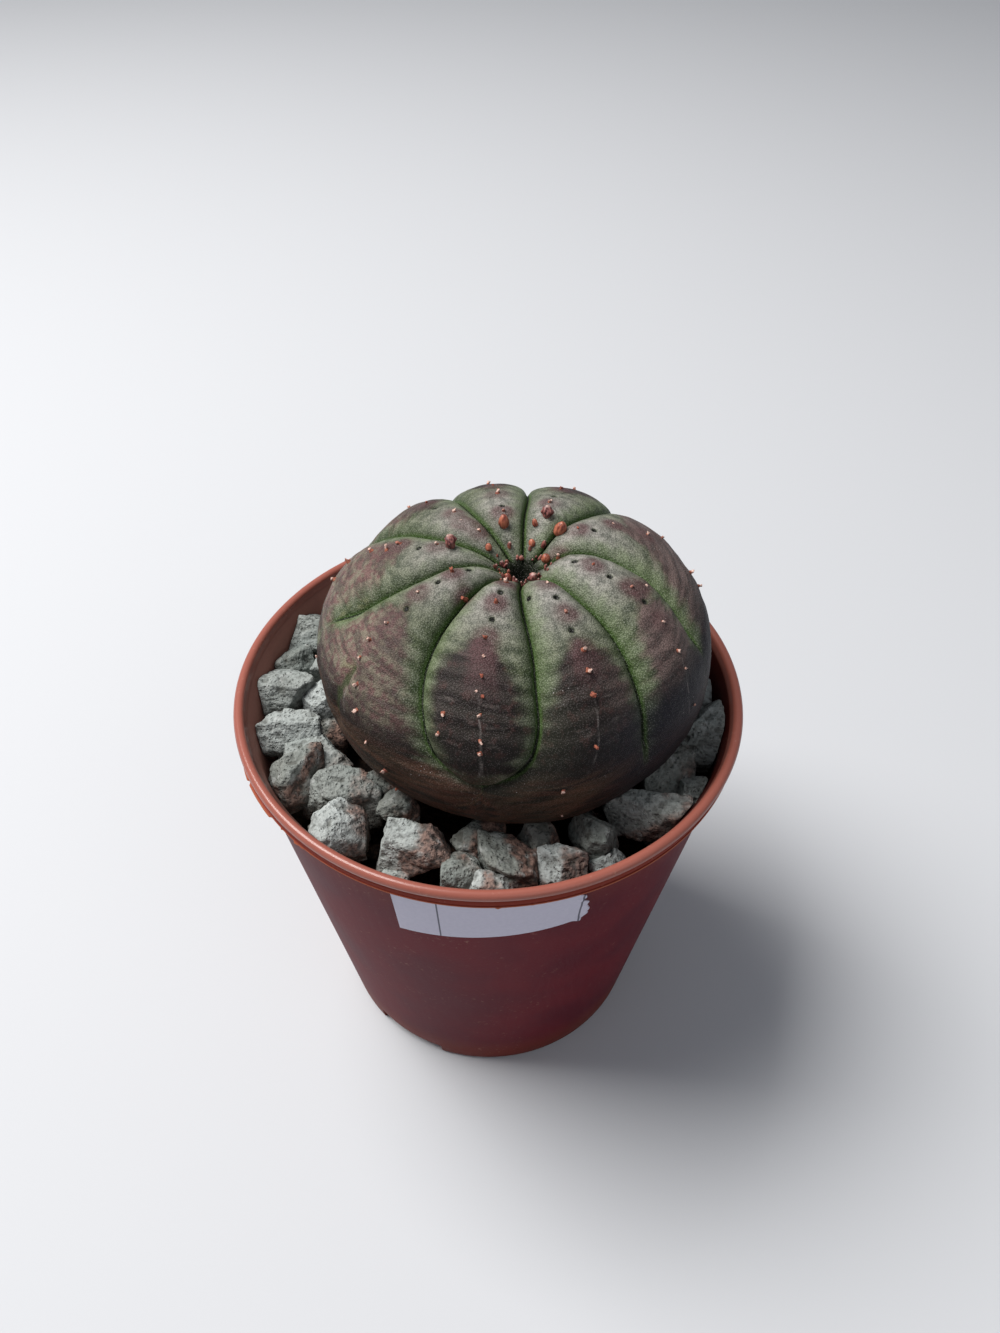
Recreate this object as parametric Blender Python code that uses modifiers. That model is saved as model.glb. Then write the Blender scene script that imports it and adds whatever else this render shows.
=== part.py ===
"""A baseball plant (a round, ribbed spurge) in its small nursery pot, with gravel and soil.

Units are metres, +Z is up, and the origin is the centre of the pot's foot, where it stands.
The viewer stands at -Y. Angles round the pot are in degrees, from +X towards +Y.
"""

import math

import bmesh
import bpy
import numpy as np
from mathutils import Matrix, Vector

MM = 0.001
CLEAR = 0.3 * MM  # the gap kept between pieces that touch

# Pot: a round 5.5 cm nursery pot
POT_HEIGHT = 50 * MM
RIM_RADIUS = 27.5 * MM
FOOT_RADIUS = 19.3 * MM
WALL_TOP_RADIUS = 26.3 * MM
WALL = 0.7 * MM
LIP_HEIGHT = 2.1 * MM
LIP_WIDTH = 1.3 * MM
FLOOR_UNDER = 1.5 * MM
FLOOR_TOP = 2.6 * MM
FOOT_WIDTH = 1.5 * MM
POT_STEPS = 56
NOTCH_ANGLES = (238, 358, 118)
NOTCH_WIDTH = 9 * MM
DRAIN_HOLES = 6
DRAIN_RADIUS = 1.8 * MM
DRAIN_RING = 11.5 * MM

# Plant: a depressed globe with nine ribs, off the pot's centre as it grew
PLANT_X = 2.65 * MM
PLANT_Y = 1.4 * MM
WAIST_Z = 54.6 * MM
WAIST_RADIUS = 20.6 * MM
CROWN_RISE = 12.4 * MM
UNDER_DROP = 14.0 * MM
BOXINESS = 0.86
DIMPLE_DEPTH = 3.0 * MM
DIMPLE_RADIUS = 3.6 * MM
CROWN_SHIFT = (0.8 * MM, 0.6 * MM)  # the crown leans this far off the waist's centre
GROOVE_TILTS = (10, 30, 50, 70, 90)
# Each groove, in order round the plant: its depth, the tilt where it ends, and its angle
# at each of the groove tilts. Tilts are degrees from the plant's axis.
GROOVES = (
    (1.9 * MM, 98, (226, 228, 233, 241, 251)),
    (1.8 * MM, 98, (265, 273, 275, 275, 267)),
    (1.7 * MM, 102, (309, 312, 311, 309, 310)),
    (1.4 * MM, 74, (366, 355, 345, 341, 340)),
    (1.3 * MM, 84, (407, 407, 409, 412, 412)),
    (1.3 * MM, 88, (448, 445, 445, 445, 445)),
    (1.3 * MM, 88, (490, 481, 476, 474, 474)),
    (1.3 * MM, 84, (528, 516, 512, 509, 509)),
    (1.6 * MM, 72, (553, 554, 553, 549, 547)),
)
COLUMNS_PER_RIB = 8
ROWS = 28
ROOT_RADIUS = 7.0 * MM
ROOT_TIP_RADIUS = 1.2 * MM
ROOT_TOP = 45 * MM
ROOT_TIP = 15 * MM

# Stubs of old flower stalks: their tilts along each rib's crest, in the grooves' order
STUBS = (
    (13, 24, 37, 43, 50, 57, 66, 73),
    (12, 24, 37, 45, 54, 72, 93),
    (9, 19, 35, 45, 58, 66, 80, 91),
    (18, 30, 44, 52, 60, 72, 84),
    (11, 26, 38, 50, 62, 74),
    (22, 30, 39, 48, 60, 72),
    (11, 24, 34, 45, 56, 68),
    (8, 19, 32, 37, 45, 60, 72),
    (11, 22, 34, 41, 51, 58, 67, 76, 89, 98),
)
STUB_RADIUS = 0.34 * MM
STUB_HEIGHT = 0.5 * MM
STUB_ROOT = 0.6 * MM
# Each bud's rib, tilt and radius
BUDS = (
    (0, 7, 0.45 * MM), (1, 6, 0.50 * MM), (2, 5, 0.50 * MM), (3, 12, 0.72 * MM),
    (4, 6, 0.40 * MM), (4, 16, 0.62 * MM), (5, 10, 0.65 * MM), (6, 6, 0.42 * MM),
    (7, 14, 0.65 * MM),
)

# Soil and gravel
SOIL_TOP = 40.2 * MM
BED_TOP = 42.6 * MM
BED_INNER = 10.6 * MM
GRAVEL_LEVEL = 44.6 * MM
STONE_FACETS = 13
# Stones that show at the front and sides, in degrees and millimetres: angle, distance from
# the pot's axis, lift above the gravel level, width, depth and height
SEEN_STONES = (
    (151, 23.6, 0.9, 7.0, 5.6, 6.6), (163, 23.6, 0.6, 4.6, 4.8, 5.2), (174, 23.3, 1.2, 7.4, 5.8, 5.0),
    (161, 19.4, 0.6, 4.0, 4.4, 5.0), (177, 18.8, 0.9, 4.2, 5.2, 5.2), (189, 22.4, 0.7, 8.0, 5.0, 5.0),
    (200, 19.4, 0.3, 7.2, 4.2, 4.2), (206, 22.6, 0.5, 5.8, 6.0, 5.6), (216, 18.9, 0.2, 8.4, 5.6, 5.8),
    (227, 22.0, 0.3, 6.0, 5.8, 6.2), (247, 19.7, 0.2, 8.4, 5.6, 6.8), (222, 14.8, 0, 4.4, 4.4, 4.4),
    (235, 16.2, 0, 4.4, 4.0, 4.2), (266, 17.4, 0, 5.6, 3.8, 4.2), (276, 20.2, 0, 6.4, 5.0, 4.8),
    (263, 21.2, -0.1, 4.0, 4.2, 4.8), (270, 23.0, -0.5, 5.6, 3.4, 3.6), (286, 18.0, 0, 4.6, 4.2, 4.4),
    (290, 21.6, 0.1, 5.2, 4.2, 5.4), (301, 20.3, 0.2, 4.8, 4.6, 5.8), (300, 23.4, -0.2, 3.8, 3.0, 3.2),
    (318, 21.4, 0.4, 8.8, 6.0, 6.4), (333, 21.0, 0.4, 5.6, 6.2, 6.4), (330, 24.0, 0.4, 4.2, 4.6, 5.0),
    (348, 22.8, 0.8, 5.8, 6.8, 6.6), (3, 23.4, 0.8, 4.8, 4.8, 5.2), (15, 23.2, 0.6, 4.6, 5.4, 5.4),
)
# Stones behind the plant and the smaller ones underneath, laid in rings by a seeded rule
HIDDEN_RINGS = (
    # first angle, last angle, count, distance, size
    (24, 142, 9, 22.6, 5.8), (24, 146, 6, 18.6, 5.0),
)
FILLER_RINGS = (
    (0, 360, 14, 22.2, 4.0), (8, 368, 9, 17.8, 4.0),
)
STONE_SEED = 2131

# Label: a paper strip stuck to the wall under the lip
LABEL_LEFT = 249.5
LABEL_RIGHT = 291.5
LABEL_LOW_LEFT = 39.2 * MM
LABEL_LOW_RIGHT = 41.3 * MM
LABEL_TALL = 8.2 * MM
LABEL_TOP = 47.2 * MM
LABEL_THICK = 0.3 * MM


def clear_scene():
    """Removes every object, so that the script starts from an empty scene."""
    for old in list(bpy.data.objects):
        bpy.data.objects.remove(old)


def collection(name, hidden=False):
    made = bpy.data.collections.new(name)
    bpy.context.scene.collection.children.link(made)
    made.hide_render = hidden
    return made


def material(name, colour, roughness):
    made = bpy.data.materials.new(name)
    made.use_nodes = True
    shader = made.node_tree.nodes["Principled BSDF"]
    shader.inputs["Base Color"].default_value = (*colour, 1)
    shader.inputs["Roughness"].default_value = roughness
    shader.inputs["Metallic"].default_value = 0
    return made


def mesh_object(name, bm, home, skin=None):
    """Turns a bmesh into a named object in the collection home."""
    mesh = bpy.data.meshes.new(name)
    bm.to_mesh(mesh)
    bm.free()
    made = bpy.data.objects.new(name, mesh)
    home.objects.link(made)
    if skin:
        mesh.materials.append(skin)
    return made


def apply_modifiers(obj):
    """Replaces the object's mesh by its evaluated mesh, and drops the modifiers."""
    graph = bpy.context.evaluated_depsgraph_get()
    obj.data = bpy.data.meshes.new_from_object(obj.evaluated_get(graph))
    obj.modifiers.clear()


def boolean(obj, operation, operand):
    """Adds one Boolean with an object or a whole collection, and applies it."""
    cut = obj.modifiers.new(operation.title(), "BOOLEAN")
    cut.operation = operation
    if isinstance(operand, bpy.types.Collection):
        cut.operand_type = "COLLECTION"
        cut.collection = operand
    else:
        cut.object = operand
    apply_modifiers(obj)


def discard(objects):
    for obj in list(objects):
        bpy.data.objects.remove(obj)


def turned(name, profile, steps, home, skin=None):
    """A solid of revolution: the profile (radius, height) at +X, turned by a Screw modifier."""
    bm = bmesh.new()
    points = [bm.verts.new((radius, 0, height)) for radius, height in profile]
    for first, second in zip(points, points[1:]):
        bm.edges.new((first, second))
    obj = mesh_object(name, bm, home, skin)
    screw = obj.modifiers.new("Turn", "SCREW")
    screw.steps = steps
    screw.render_steps = steps
    screw.use_merge_vertices = True
    screw.merge_threshold = 0.01 * MM
    screw.use_smooth_shade = True
    return obj


def arc(centre, radius_out, radius_up, start, end, count):
    """Points on an ellipse's arc in the profile plane, angles in degrees from the radial axis."""
    angles = np.radians(np.linspace(start, end, count))
    return [
        (centre[0] + radius_out * math.cos(a), centre[1] + radius_up * math.sin(a))
        for a in angles
    ]


def wall_radius(height):
    """The pot's outer wall radius at a height: a straight cone from the foot to the lip."""
    share = height / (POT_HEIGHT - LIP_HEIGHT)
    return FOOT_RADIUS + (WALL_TOP_RADIUS - FOOT_RADIUS) * share


def polar(angle, radius, height):
    """A point at an angle in degrees round the pot's axis."""
    turn = math.radians(angle)
    return Vector((radius * math.cos(turn), radius * math.sin(turn), height))


def pot_profile():
    """The pot's section: floor, inner wall, flared lip, outer wall and foot ring."""
    lip_base = POT_HEIGHT - LIP_HEIGHT
    half = LIP_WIDTH / 2
    bead = (RIM_RADIUS - half, POT_HEIGHT - half)
    foot_inner = FOOT_RADIUS - FOOT_WIDTH
    profile = [
        (0, FLOOR_TOP),
        (wall_radius(FLOOR_TOP) - WALL - 0.6 * MM, FLOOR_TOP),
        (wall_radius(FLOOR_TOP + 0.6 * MM) - WALL, FLOOR_TOP + 0.6 * MM),
        (WALL_TOP_RADIUS - WALL, lip_base),
    ]
    profile += arc(bead, half, half, 180, -50, 9)
    profile += [
        (WALL_TOP_RADIUS, lip_base),
        (wall_radius(0.5 * MM), 0.5 * MM),
        (FOOT_RADIUS - 0.4 * MM, 0),
        (foot_inner, 0),
        (foot_inner - 0.3 * MM, FLOOR_UNDER),
        (0, FLOOR_UNDER),
    ]
    return profile


def make_pot(home, cutters, skin):
    """The plastic pot, with drain notches in its foot ring and drain holes in its floor."""
    pot = turned("pot", pot_profile(), POT_STEPS, home, skin)
    apply_modifiers(pot)
    for angle in NOTCH_ANGLES:
        bm = bmesh.new()
        bmesh.ops.create_cube(bm, size=1)
        size = Matrix.Diagonal((4 * FOOT_WIDTH, NOTCH_WIDTH, 2 * FLOOR_UNDER, 1))
        place = Matrix.Translation(polar(angle, FOOT_RADIUS, 0))
        turn = Matrix.Rotation(math.radians(angle), 4, "Z")
        bmesh.ops.transform(bm, matrix=place @ turn @ size, verts=bm.verts)
        mesh_object("notch", bm, cutters)
    for number in range(DRAIN_HOLES):
        bm = bmesh.new()
        bmesh.ops.create_cone(
            bm, cap_ends=True, segments=12, radius1=DRAIN_RADIUS,
            radius2=DRAIN_RADIUS, depth=4 * FLOOR_TOP,
        )
        place = Matrix.Translation(polar(number * 360 / DRAIN_HOLES, DRAIN_RING, FLOOR_TOP))
        bmesh.ops.transform(bm, matrix=place, verts=bm.verts)
        mesh_object("drain", bm, cutters)
    boolean(pot, "DIFFERENCE", cutters)
    discard(cutters.objects)
    pot.data.shade_smooth()
    pot.data.set_sharp_from_angle(angle=math.radians(40))
    return pot


def root_cone(grow):
    """The taproot as a cone below the plant, made larger all round by grow."""
    bm = bmesh.new()
    bmesh.ops.create_cone(
        bm, cap_ends=True, segments=16, radius1=ROOT_TIP_RADIUS + grow,
        radius2=ROOT_RADIUS + grow, depth=ROOT_TOP - ROOT_TIP,
    )
    place = Matrix.Translation((PLANT_X, PLANT_Y, (ROOT_TOP + ROOT_TIP) / 2 - grow))
    bmesh.ops.transform(bm, matrix=place, verts=bm.verts)
    return bm


def make_soil(home, helpers, skin):
    """The soil: a filled cone with a plain tapered hole for the root."""
    side = WALL + CLEAR
    low = FLOOR_TOP + CLEAR
    profile = [
        (0, SOIL_TOP),
        (wall_radius(SOIL_TOP) - side, SOIL_TOP),
        (wall_radius(low + 1.2 * MM) - side, low + 1.2 * MM),
        (wall_radius(low) - side - 1.0 * MM, low),
        (0, low),
    ]
    soil = turned("soil", profile, 40, home, skin)
    apply_modifiers(soil)
    hole = mesh_object("hole", root_cone(CLEAR), helpers)
    boolean(soil, "DIFFERENCE", hole)
    discard(helpers.objects)
    return soil


def smoothstep(value, low, high):
    """0 below low, 1 above high, and an even curve between."""
    share = np.clip((value - low) / (high - low), 0, 1)
    return share * share * (3 - 2 * share)


def groove(number, tilt):
    """A groove's angle round the plant and its depth, at a tilt from the plant's axis."""
    turns, place = divmod(number, len(GROOVES))
    depth, end, angles = GROOVES[place]
    fade = smoothstep(tilt, 1, 16) * (1 - 0.3 * smoothstep(tilt, 50, 75))
    fade *= 1 - smoothstep(tilt, end - 16, end)
    return np.interp(tilt, GROOVE_TILTS, angles) + 360 * turns, depth * fade


def body_point(tilt, across, grow=0.0, ribbed=True):
    """A point on the plant's skin.

    The outline is a superellipse of revolution with a dimple at the crown. Across counts
    ribs round the plant: whole numbers are grooves, and halves are crests. The skin sinks
    from the crest to the groove with the 2.4th power of the distance, which makes round
    ribs with a sharp line between them. Each groove fades at the crown and at its end.
    """
    number = math.floor(across)
    share = across - number
    left, left_depth = groove(number, tilt)
    right, right_depth = groove(number + 1, tilt)
    turn = math.radians((1 - share) * left + share * right)
    lean = math.radians(tilt)
    side = abs(math.sin(lean)) ** BOXINESS
    rise = math.copysign(abs(math.cos(lean)) ** BOXINESS, math.cos(lean))
    radius = WAIST_RADIUS * side
    height = WAIST_Z + (CROWN_RISE if rise > 0 else UNDER_DROP) * rise
    out = grow
    if ribbed:
        depth = left_depth if share < 0.5 else right_depth
        out -= depth * abs(2 * share - 1) ** 2.4
        if rise > 0:
            height -= DIMPLE_DEPTH * math.exp(-((radius / DIMPLE_RADIUS) ** 2))
    radius += out * math.sin(lean)
    height += out * math.cos(lean)
    shift = max(rise, 0) ** 2
    x = PLANT_X + CROWN_SHIFT[0] * shift + radius * math.cos(turn)
    y = PLANT_Y + CROWN_SHIFT[1] * shift + radius * math.sin(turn)
    return Vector((x, y, height))


def body_globe(columns, rows, grow=0.0, ribbed=True):
    """A UV sphere whose points are moved onto the plant's skin."""
    bm = bmesh.new()
    bmesh.ops.create_uvsphere(bm, u_segments=columns, v_segments=rows, radius=1)
    for vert in bm.verts:
        tilt = math.degrees(math.acos(max(-1, min(1, vert.co.z))))
        turn = math.degrees(math.atan2(vert.co.y, vert.co.x)) % 360
        vert.co = body_point(tilt, turn / 360 * len(GROOVES), grow, ribbed)
    return bm


def crest_frame(rib, tilt):
    """A point on a rib's crest, and the turn that points +Z out of the skin there."""
    here = body_point(tilt, rib + 0.5)
    along = body_point(tilt + 1, rib + 0.5) - body_point(tilt - 1, rib + 0.5)
    sideways = body_point(tilt, rib + 0.6) - body_point(tilt, rib + 0.4)
    outward = along.cross(sideways).normalized()
    return here, outward.to_track_quat("Z", "Y").to_matrix().to_4x4()


def make_plant(home, helpers, skin):
    """The ribbed body with its taproot, flower stalk stubs and buds, as one grown piece."""
    plant = mesh_object("plant", body_globe(COLUMNS_PER_RIB * len(GROOVES), ROWS), home, skin)
    mesh_object("root", root_cone(0), helpers)
    for rib, tilts in enumerate(STUBS):
        for tilt in tilts:
            here, turn = crest_frame(rib, tilt)
            bm = bmesh.new()
            bmesh.ops.create_cone(
                bm, cap_ends=True, segments=5, radius1=STUB_RADIUS * 1.3,
                radius2=STUB_RADIUS * 0.7, depth=STUB_HEIGHT + STUB_ROOT,
            )
            lift = Matrix.Translation((0, 0, (STUB_HEIGHT - STUB_ROOT) / 2))
            move = Matrix.Translation(here) @ turn @ lift
            bmesh.ops.transform(bm, matrix=move, verts=bm.verts)
            mesh_object("stub", bm, helpers)
    for rib, tilt, radius in BUDS:
        here, turn = crest_frame(rib, tilt)
        bm = bmesh.new()
        bmesh.ops.create_uvsphere(bm, u_segments=8, v_segments=6, radius=radius)
        shape = Matrix.Diagonal((1, 1, 1.3, 1))
        lift = Matrix.Translation((0, 0, 0.6 * radius))
        move = Matrix.Translation(here) @ turn @ lift @ shape
        bmesh.ops.transform(bm, matrix=move, verts=bm.verts)
        mesh_object("bud", bm, helpers)
    boolean(plant, "UNION", helpers)
    discard(helpers.objects)
    plant.data.shade_smooth()
    plant.data.set_sharp_from_angle(angle=math.radians(28))
    return plant


def stone_radius(directions, normals, reach):
    """Distance to a stone's surface along each direction.

    The stone is a ball cut by flat faces. Along a direction d, a face with normal n at
    distance h lies h / (n.d) away, and the surface is a soft minimum over all faces.
    """
    facing = np.maximum(directions @ normals.T, 0) / reach
    return (facing**24).sum(axis=1) ** (-1 / 24)


def make_stone(random, centre, size, subdivisions, home):
    """One crushed stone: an icosphere whose points lie on randomly cut faces."""
    normals = random.normal(size=(STONE_FACETS, 3))
    normals = np.vstack([normals, np.eye(3), -np.eye(3)])
    normals /= np.linalg.norm(normals, axis=1)[:, None]
    reach = random.uniform(0.66, 1.0, len(normals))
    reach[-6:] = 1.0
    bm = bmesh.new()
    bmesh.ops.create_icosphere(bm, subdivisions=subdivisions, radius=1)
    spin = Matrix.Rotation(random.uniform(0, math.tau), 4, "Z")
    bmesh.ops.transform(bm, matrix=spin, verts=bm.verts)
    directions = np.array([vert.co.normalized() for vert in bm.verts])
    reached = stone_radius(directions, normals, reach)
    for vert, direction, length in zip(bm.verts, directions, reached):
        vert.co = centre + Vector(direction * length * np.array(size) / 2)
    return mesh_object("stone", bm, home)


def ring_stones(random, rings, level, stretch):
    """Stones spaced round rings with a seeded scatter: centre and size of each."""
    for first, last, count, distance, size in rings:
        for number in range(count):
            angle = first + (last - first) * (number + random.uniform(0.3, 0.7)) / count
            away = (distance + random.uniform(-0.6, 0.6)) * MM
            height = level + random.uniform(-0.5, 0.5) * MM
            sides = size * stretch * random.uniform(0.85, 1.15, 3) * MM
            yield polar(angle, away, height), sides


def make_gravel(home, helpers, skin):
    """The gravel: stones sunk into a thin bed, clear of the plant and the pot's wall."""
    random = np.random.default_rng(STONE_SEED)
    side = WALL + CLEAR
    bed = [
        (BED_INNER, BED_TOP - 0.8 * MM),
        (wall_radius(BED_TOP) - side - 1.5 * MM, BED_TOP),
        (wall_radius(SOIL_TOP) - side - 0.3 * MM, SOIL_TOP - 1 * MM),
        (BED_INNER, SOIL_TOP - 1 * MM),
    ]
    gravel = turned("gravel", bed + bed[:1], 28, home, skin)
    apply_modifiers(gravel)
    for angle, distance, lift, wide, deep, high in SEEN_STONES:
        centre = polar(angle, distance * MM, GRAVEL_LEVEL + lift * MM)
        make_stone(random, centre, (wide * MM, deep * MM, high * MM), 2, helpers)
    for centre, sides in ring_stones(random, HIDDEN_RINGS, GRAVEL_LEVEL, 1.0):
        make_stone(random, centre, sides, 2, helpers)
    for centre, sides in ring_stones(random, FILLER_RINGS, BED_TOP, 1.0):
        make_stone(random, centre, sides, 1, helpers)
    boolean(gravel, "UNION", helpers)
    discard(helpers.objects)
    inside = [
        (0, POT_HEIGHT),
        (wall_radius(POT_HEIGHT) - side, POT_HEIGHT),
        (wall_radius(SOIL_TOP) - side, SOIL_TOP + CLEAR),
        (0, SOIL_TOP + CLEAR),
    ]
    room = turned("room", inside, POT_STEPS, helpers)
    boolean(gravel, "INTERSECT", room)
    discard(helpers.objects)
    hollow = mesh_object("hollow", body_globe(40, 24, CLEAR + 0.15 * MM, False), helpers)
    boolean(gravel, "DIFFERENCE", hollow)
    discard(helpers.objects)
    keep_largest(gravel)
    return gravel


def keep_largest(obj):
    """Joins points that a cut doubled, and keeps the largest connected piece."""
    bm = bmesh.new()
    bm.from_mesh(obj.data)
    bmesh.ops.remove_doubles(bm, verts=bm.verts, dist=0.004 * MM)
    todo = set(bm.verts)
    pieces = []
    while todo:
        stack = [todo.pop()]
        piece = set(stack)
        while stack:
            for edge in stack.pop().link_edges:
                for vert in edge.verts:
                    if vert in todo:
                        todo.remove(vert)
                        piece.add(vert)
                        stack.append(vert)
        pieces.append(piece)
    pieces.sort(key=len)
    loose = [vert for piece in pieces[:-1] for vert in piece]
    bmesh.ops.delete(bm, geom=loose, context="VERTS")
    bm.to_mesh(obj.data)
    bm.free()


def make_label(home, skin):
    """The paper strip: a grid wrapped on the wall's cone, given its thickness by Solidify."""
    bm = bmesh.new()
    bmesh.ops.create_grid(bm, x_segments=14, y_segments=2, size=0.5)
    for vert in bm.verts:
        along = vert.co.x + 0.5
        up = vert.co.y + 0.5
        low = LABEL_LOW_LEFT + (LABEL_LOW_RIGHT - LABEL_LOW_LEFT) * along
        high = min(low + LABEL_TALL, LABEL_TOP)
        height = low + (high - low) * up
        angle = LABEL_LEFT + (LABEL_RIGHT - LABEL_LEFT) * along
        vert.co = polar(angle, wall_radius(height) + CLEAR, height)
    label = mesh_object("label", bm, home, skin)
    thick = label.modifiers.new("Paper", "SOLIDIFY")
    thick.thickness = LABEL_THICK
    thick.offset = 1
    return label


def main():
    clear_scene()
    home = collection("baseball_plant")
    helpers = collection("helpers", hidden=True)
    terracotta = material("terracotta_plastic", (0.36, 0.10, 0.05), 0.45)
    flesh = material("plant_skin", (0.13, 0.14, 0.10), 0.55)
    stone = material("pale_stone", (0.42, 0.46, 0.42), 0.9)
    earth = material("dark_soil", (0.03, 0.02, 0.015), 0.95)
    paper = material("white_paper", (0.75, 0.75, 0.78), 0.6)
    make_pot(home, helpers, terracotta)
    make_soil(home, helpers, earth)
    make_gravel(home, helpers, stone)
    make_plant(home, helpers, flesh)
    make_label(home, paper)


main()
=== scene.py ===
# %% [markdown]
# # A baseball plant in its nursery pot
#
# The object is a small ribbed succulent, round as a ball, in a 5.5 cm plastic pot. Pale
# crushed stones cover the soil, and a strip of paper is stuck on the pot. Each piece here
# is a surface worked out from a formula, and stands where the solid model has it.

# %% Load the solid model
import math

import bpy
import numpy as np
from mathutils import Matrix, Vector


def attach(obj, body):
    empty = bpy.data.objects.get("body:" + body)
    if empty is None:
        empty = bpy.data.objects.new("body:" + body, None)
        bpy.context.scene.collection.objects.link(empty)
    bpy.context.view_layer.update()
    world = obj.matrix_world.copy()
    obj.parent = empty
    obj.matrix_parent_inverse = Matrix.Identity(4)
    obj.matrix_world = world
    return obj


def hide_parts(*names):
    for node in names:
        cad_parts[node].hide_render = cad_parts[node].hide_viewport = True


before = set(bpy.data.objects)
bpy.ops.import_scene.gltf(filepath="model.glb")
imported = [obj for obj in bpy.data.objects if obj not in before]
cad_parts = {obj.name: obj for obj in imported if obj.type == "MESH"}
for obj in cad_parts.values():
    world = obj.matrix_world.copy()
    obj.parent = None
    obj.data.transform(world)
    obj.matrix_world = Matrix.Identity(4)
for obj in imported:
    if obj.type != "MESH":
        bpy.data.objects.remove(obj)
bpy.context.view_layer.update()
MM = 0.001
print("Solids:", ", ".join(sorted(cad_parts)))

# %% [markdown]
# ## Camera
#
# A phone took the photograph from about 10 cm, looking down at 45 degrees. So near,
# the rim looks much wider than the foot, and only a camera at the true distance shows
# that. Its place and angles come from fitting the rim, the foot and the wall's sides.

# %% Place the camera
CAMERA_PLACE = (0, -79.03 * MM, 130.57 * MM)
CAMERA_TURNS = (45.212, -0.337, -0.538)
SENSOR_WIDTH = 36
LENS = 28.09
NEAREST = 5 * MM
FARTHEST = 20
camera = bpy.data.objects.new("camera", bpy.data.cameras.new("camera"))
bpy.context.scene.collection.objects.link(camera)
camera.location = CAMERA_PLACE
camera.rotation_euler = [math.radians(turn) for turn in CAMERA_TURNS]
camera.data.sensor_width = SENSOR_WIDTH
camera.data.lens = LENS
camera.data.clip_start = NEAREST
camera.data.clip_end = FARTHEST
bpy.context.scene.camera = camera
print("Camera height:", round(camera.location.z / MM), "mm")

# %% [markdown]
# ## Surfaces from grids
#
# A pot, a rib or a stone can each be seen as a sheet that bends round: one number runs
# down it and another runs round it. A formula turns the two numbers into a place, for the
# whole grid at once. That keeps a shape short to write and easy to change, and one helper
# can turn every such grid into a mesh.


# %% Turn a grid of points into a mesh
def surface(name, points, wrap=True, loop=False, first=None, last=None, marks=None, crease=180):
    """Makes one object from grids of points, indexed [copy, row, column].

    Each face joins four neighbours: down a row, then round a column. It faces outwards
    where rows run down the shape and columns run round it, anticlockwise from above.
    wrap joins the last column to the first, and loop the last row to the first. first and
    last are one point a copy that closes that end with a fan. marks are numbers for
    each grid point that the material reads by name. Edges that bend by more than crease
    degrees are drawn sharp.
    """
    copies, rows, columns = points.shape[:3]
    number = np.arange(copies * rows * columns).reshape(copies, rows, columns)
    if wrap:
        number = np.concatenate([number, number[:, :, :1]], axis=2)
    if loop:
        number = np.concatenate([number, number[:, :1]], axis=1)
    corners = (number[:, :-1, :-1], number[:, 1:, :-1], number[:, 1:, 1:], number[:, :-1, 1:])
    faces = np.stack(corners, -1).reshape(-1, 4).tolist()
    places = points.reshape(-1, 3)
    values = {mark: np.ravel(value) for mark, value in (marks or {}).items()}
    for tips, ring, row in ((first, number[:, 0], 0), (last, number[:, -1, ::-1], -1)):
        if tips is None:
            continue
        tip = len(places) + np.arange(copies)[:, None] + 0 * ring[:, 1:]
        faces += np.stack([tip, ring[:, :-1], ring[:, 1:]], -1).reshape(-1, 3).tolist()
        places = np.vstack([places, np.reshape(tips, (copies, 3))])
        for mark, value in (marks or {}).items():
            end = np.reshape(value, (copies, rows, columns))[:, row].mean(axis=1)
            values[mark] = np.concatenate([values[mark], end])
    mesh = bpy.data.meshes.new(name)
    mesh.from_pydata(places.tolist(), [], faces)
    for mark, value in values.items():
        layer = mesh.attributes.new(mark, "FLOAT", "POINT")
        layer.data.foreach_set("value", value.astype(np.float32))
    mesh.shade_smooth()
    if crease < 180:
        mesh.set_sharp_from_angle(angle=math.radians(crease))
    made = bpy.data.objects.new(name, mesh)
    bpy.context.scene.collection.objects.link(made)
    print(name, "has", sum(len(face) - 2 for face in faces), "triangles")
    return made


def dress(piece, material, node):
    """Gives a piece its material, ties it to the root body and hides the solid it stands for."""
    piece.data.materials.clear()
    piece.data.materials.append(material)
    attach(piece, "root")
    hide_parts(node)


# %% Smooth steps and noise for whole arrays
def step(value, low, high):
    """0 below low, 1 above high, and u * u * (3 - 2 * u) between them."""
    share = np.clip((value - low) / (high - low), 0, 1)
    return share * share * (3 - 2 * share)


def corner_number(cells, seed):
    """A repeatable number from 0 to 1 for each whole-number corner of a lattice: its
    three counts are multiplied by large primes, mixed bit by bit and scaled down."""
    counts = (cells & 0xFFFFFFFF).astype(np.uint32)
    mixed = counts[..., 0] * np.uint32(73856093) ^ counts[..., 1] * np.uint32(19349663)
    mixed ^= counts[..., 2] * np.uint32(83492791) ^ np.uint32(seed * 97 + 13)
    mixed = (mixed ^ (mixed >> 13)) * np.uint32(1274126177)
    return (mixed ^ (mixed >> 16)) / 2.0**32


def noise(points, cell, seed=0):
    """Soft bumps from -1 to 1, about one cell wide: the numbers at the eight corners of
    each lattice cell, blended by u * u * (3 - 2 * u) along each axis."""
    place = np.asarray(points) / cell
    low = np.floor(place).astype(np.int64)
    share = step(place - low, 0, 1)
    total = np.zeros(place.shape[:-1])
    for corner in np.ndindex(2, 2, 2):
        weight = np.prod(np.where(corner, share, 1 - share), axis=-1)
        total += weight * corner_number(low + corner, seed)
    return 2 * total - 1


def rough(points, cell, octaves, seed=0):
    """Noise upon noise: each octave has cells and bumps half as large as the last."""
    return sum(noise(points, cell / 2**n, seed + n) / 2**n for n in range(octaves))


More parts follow.
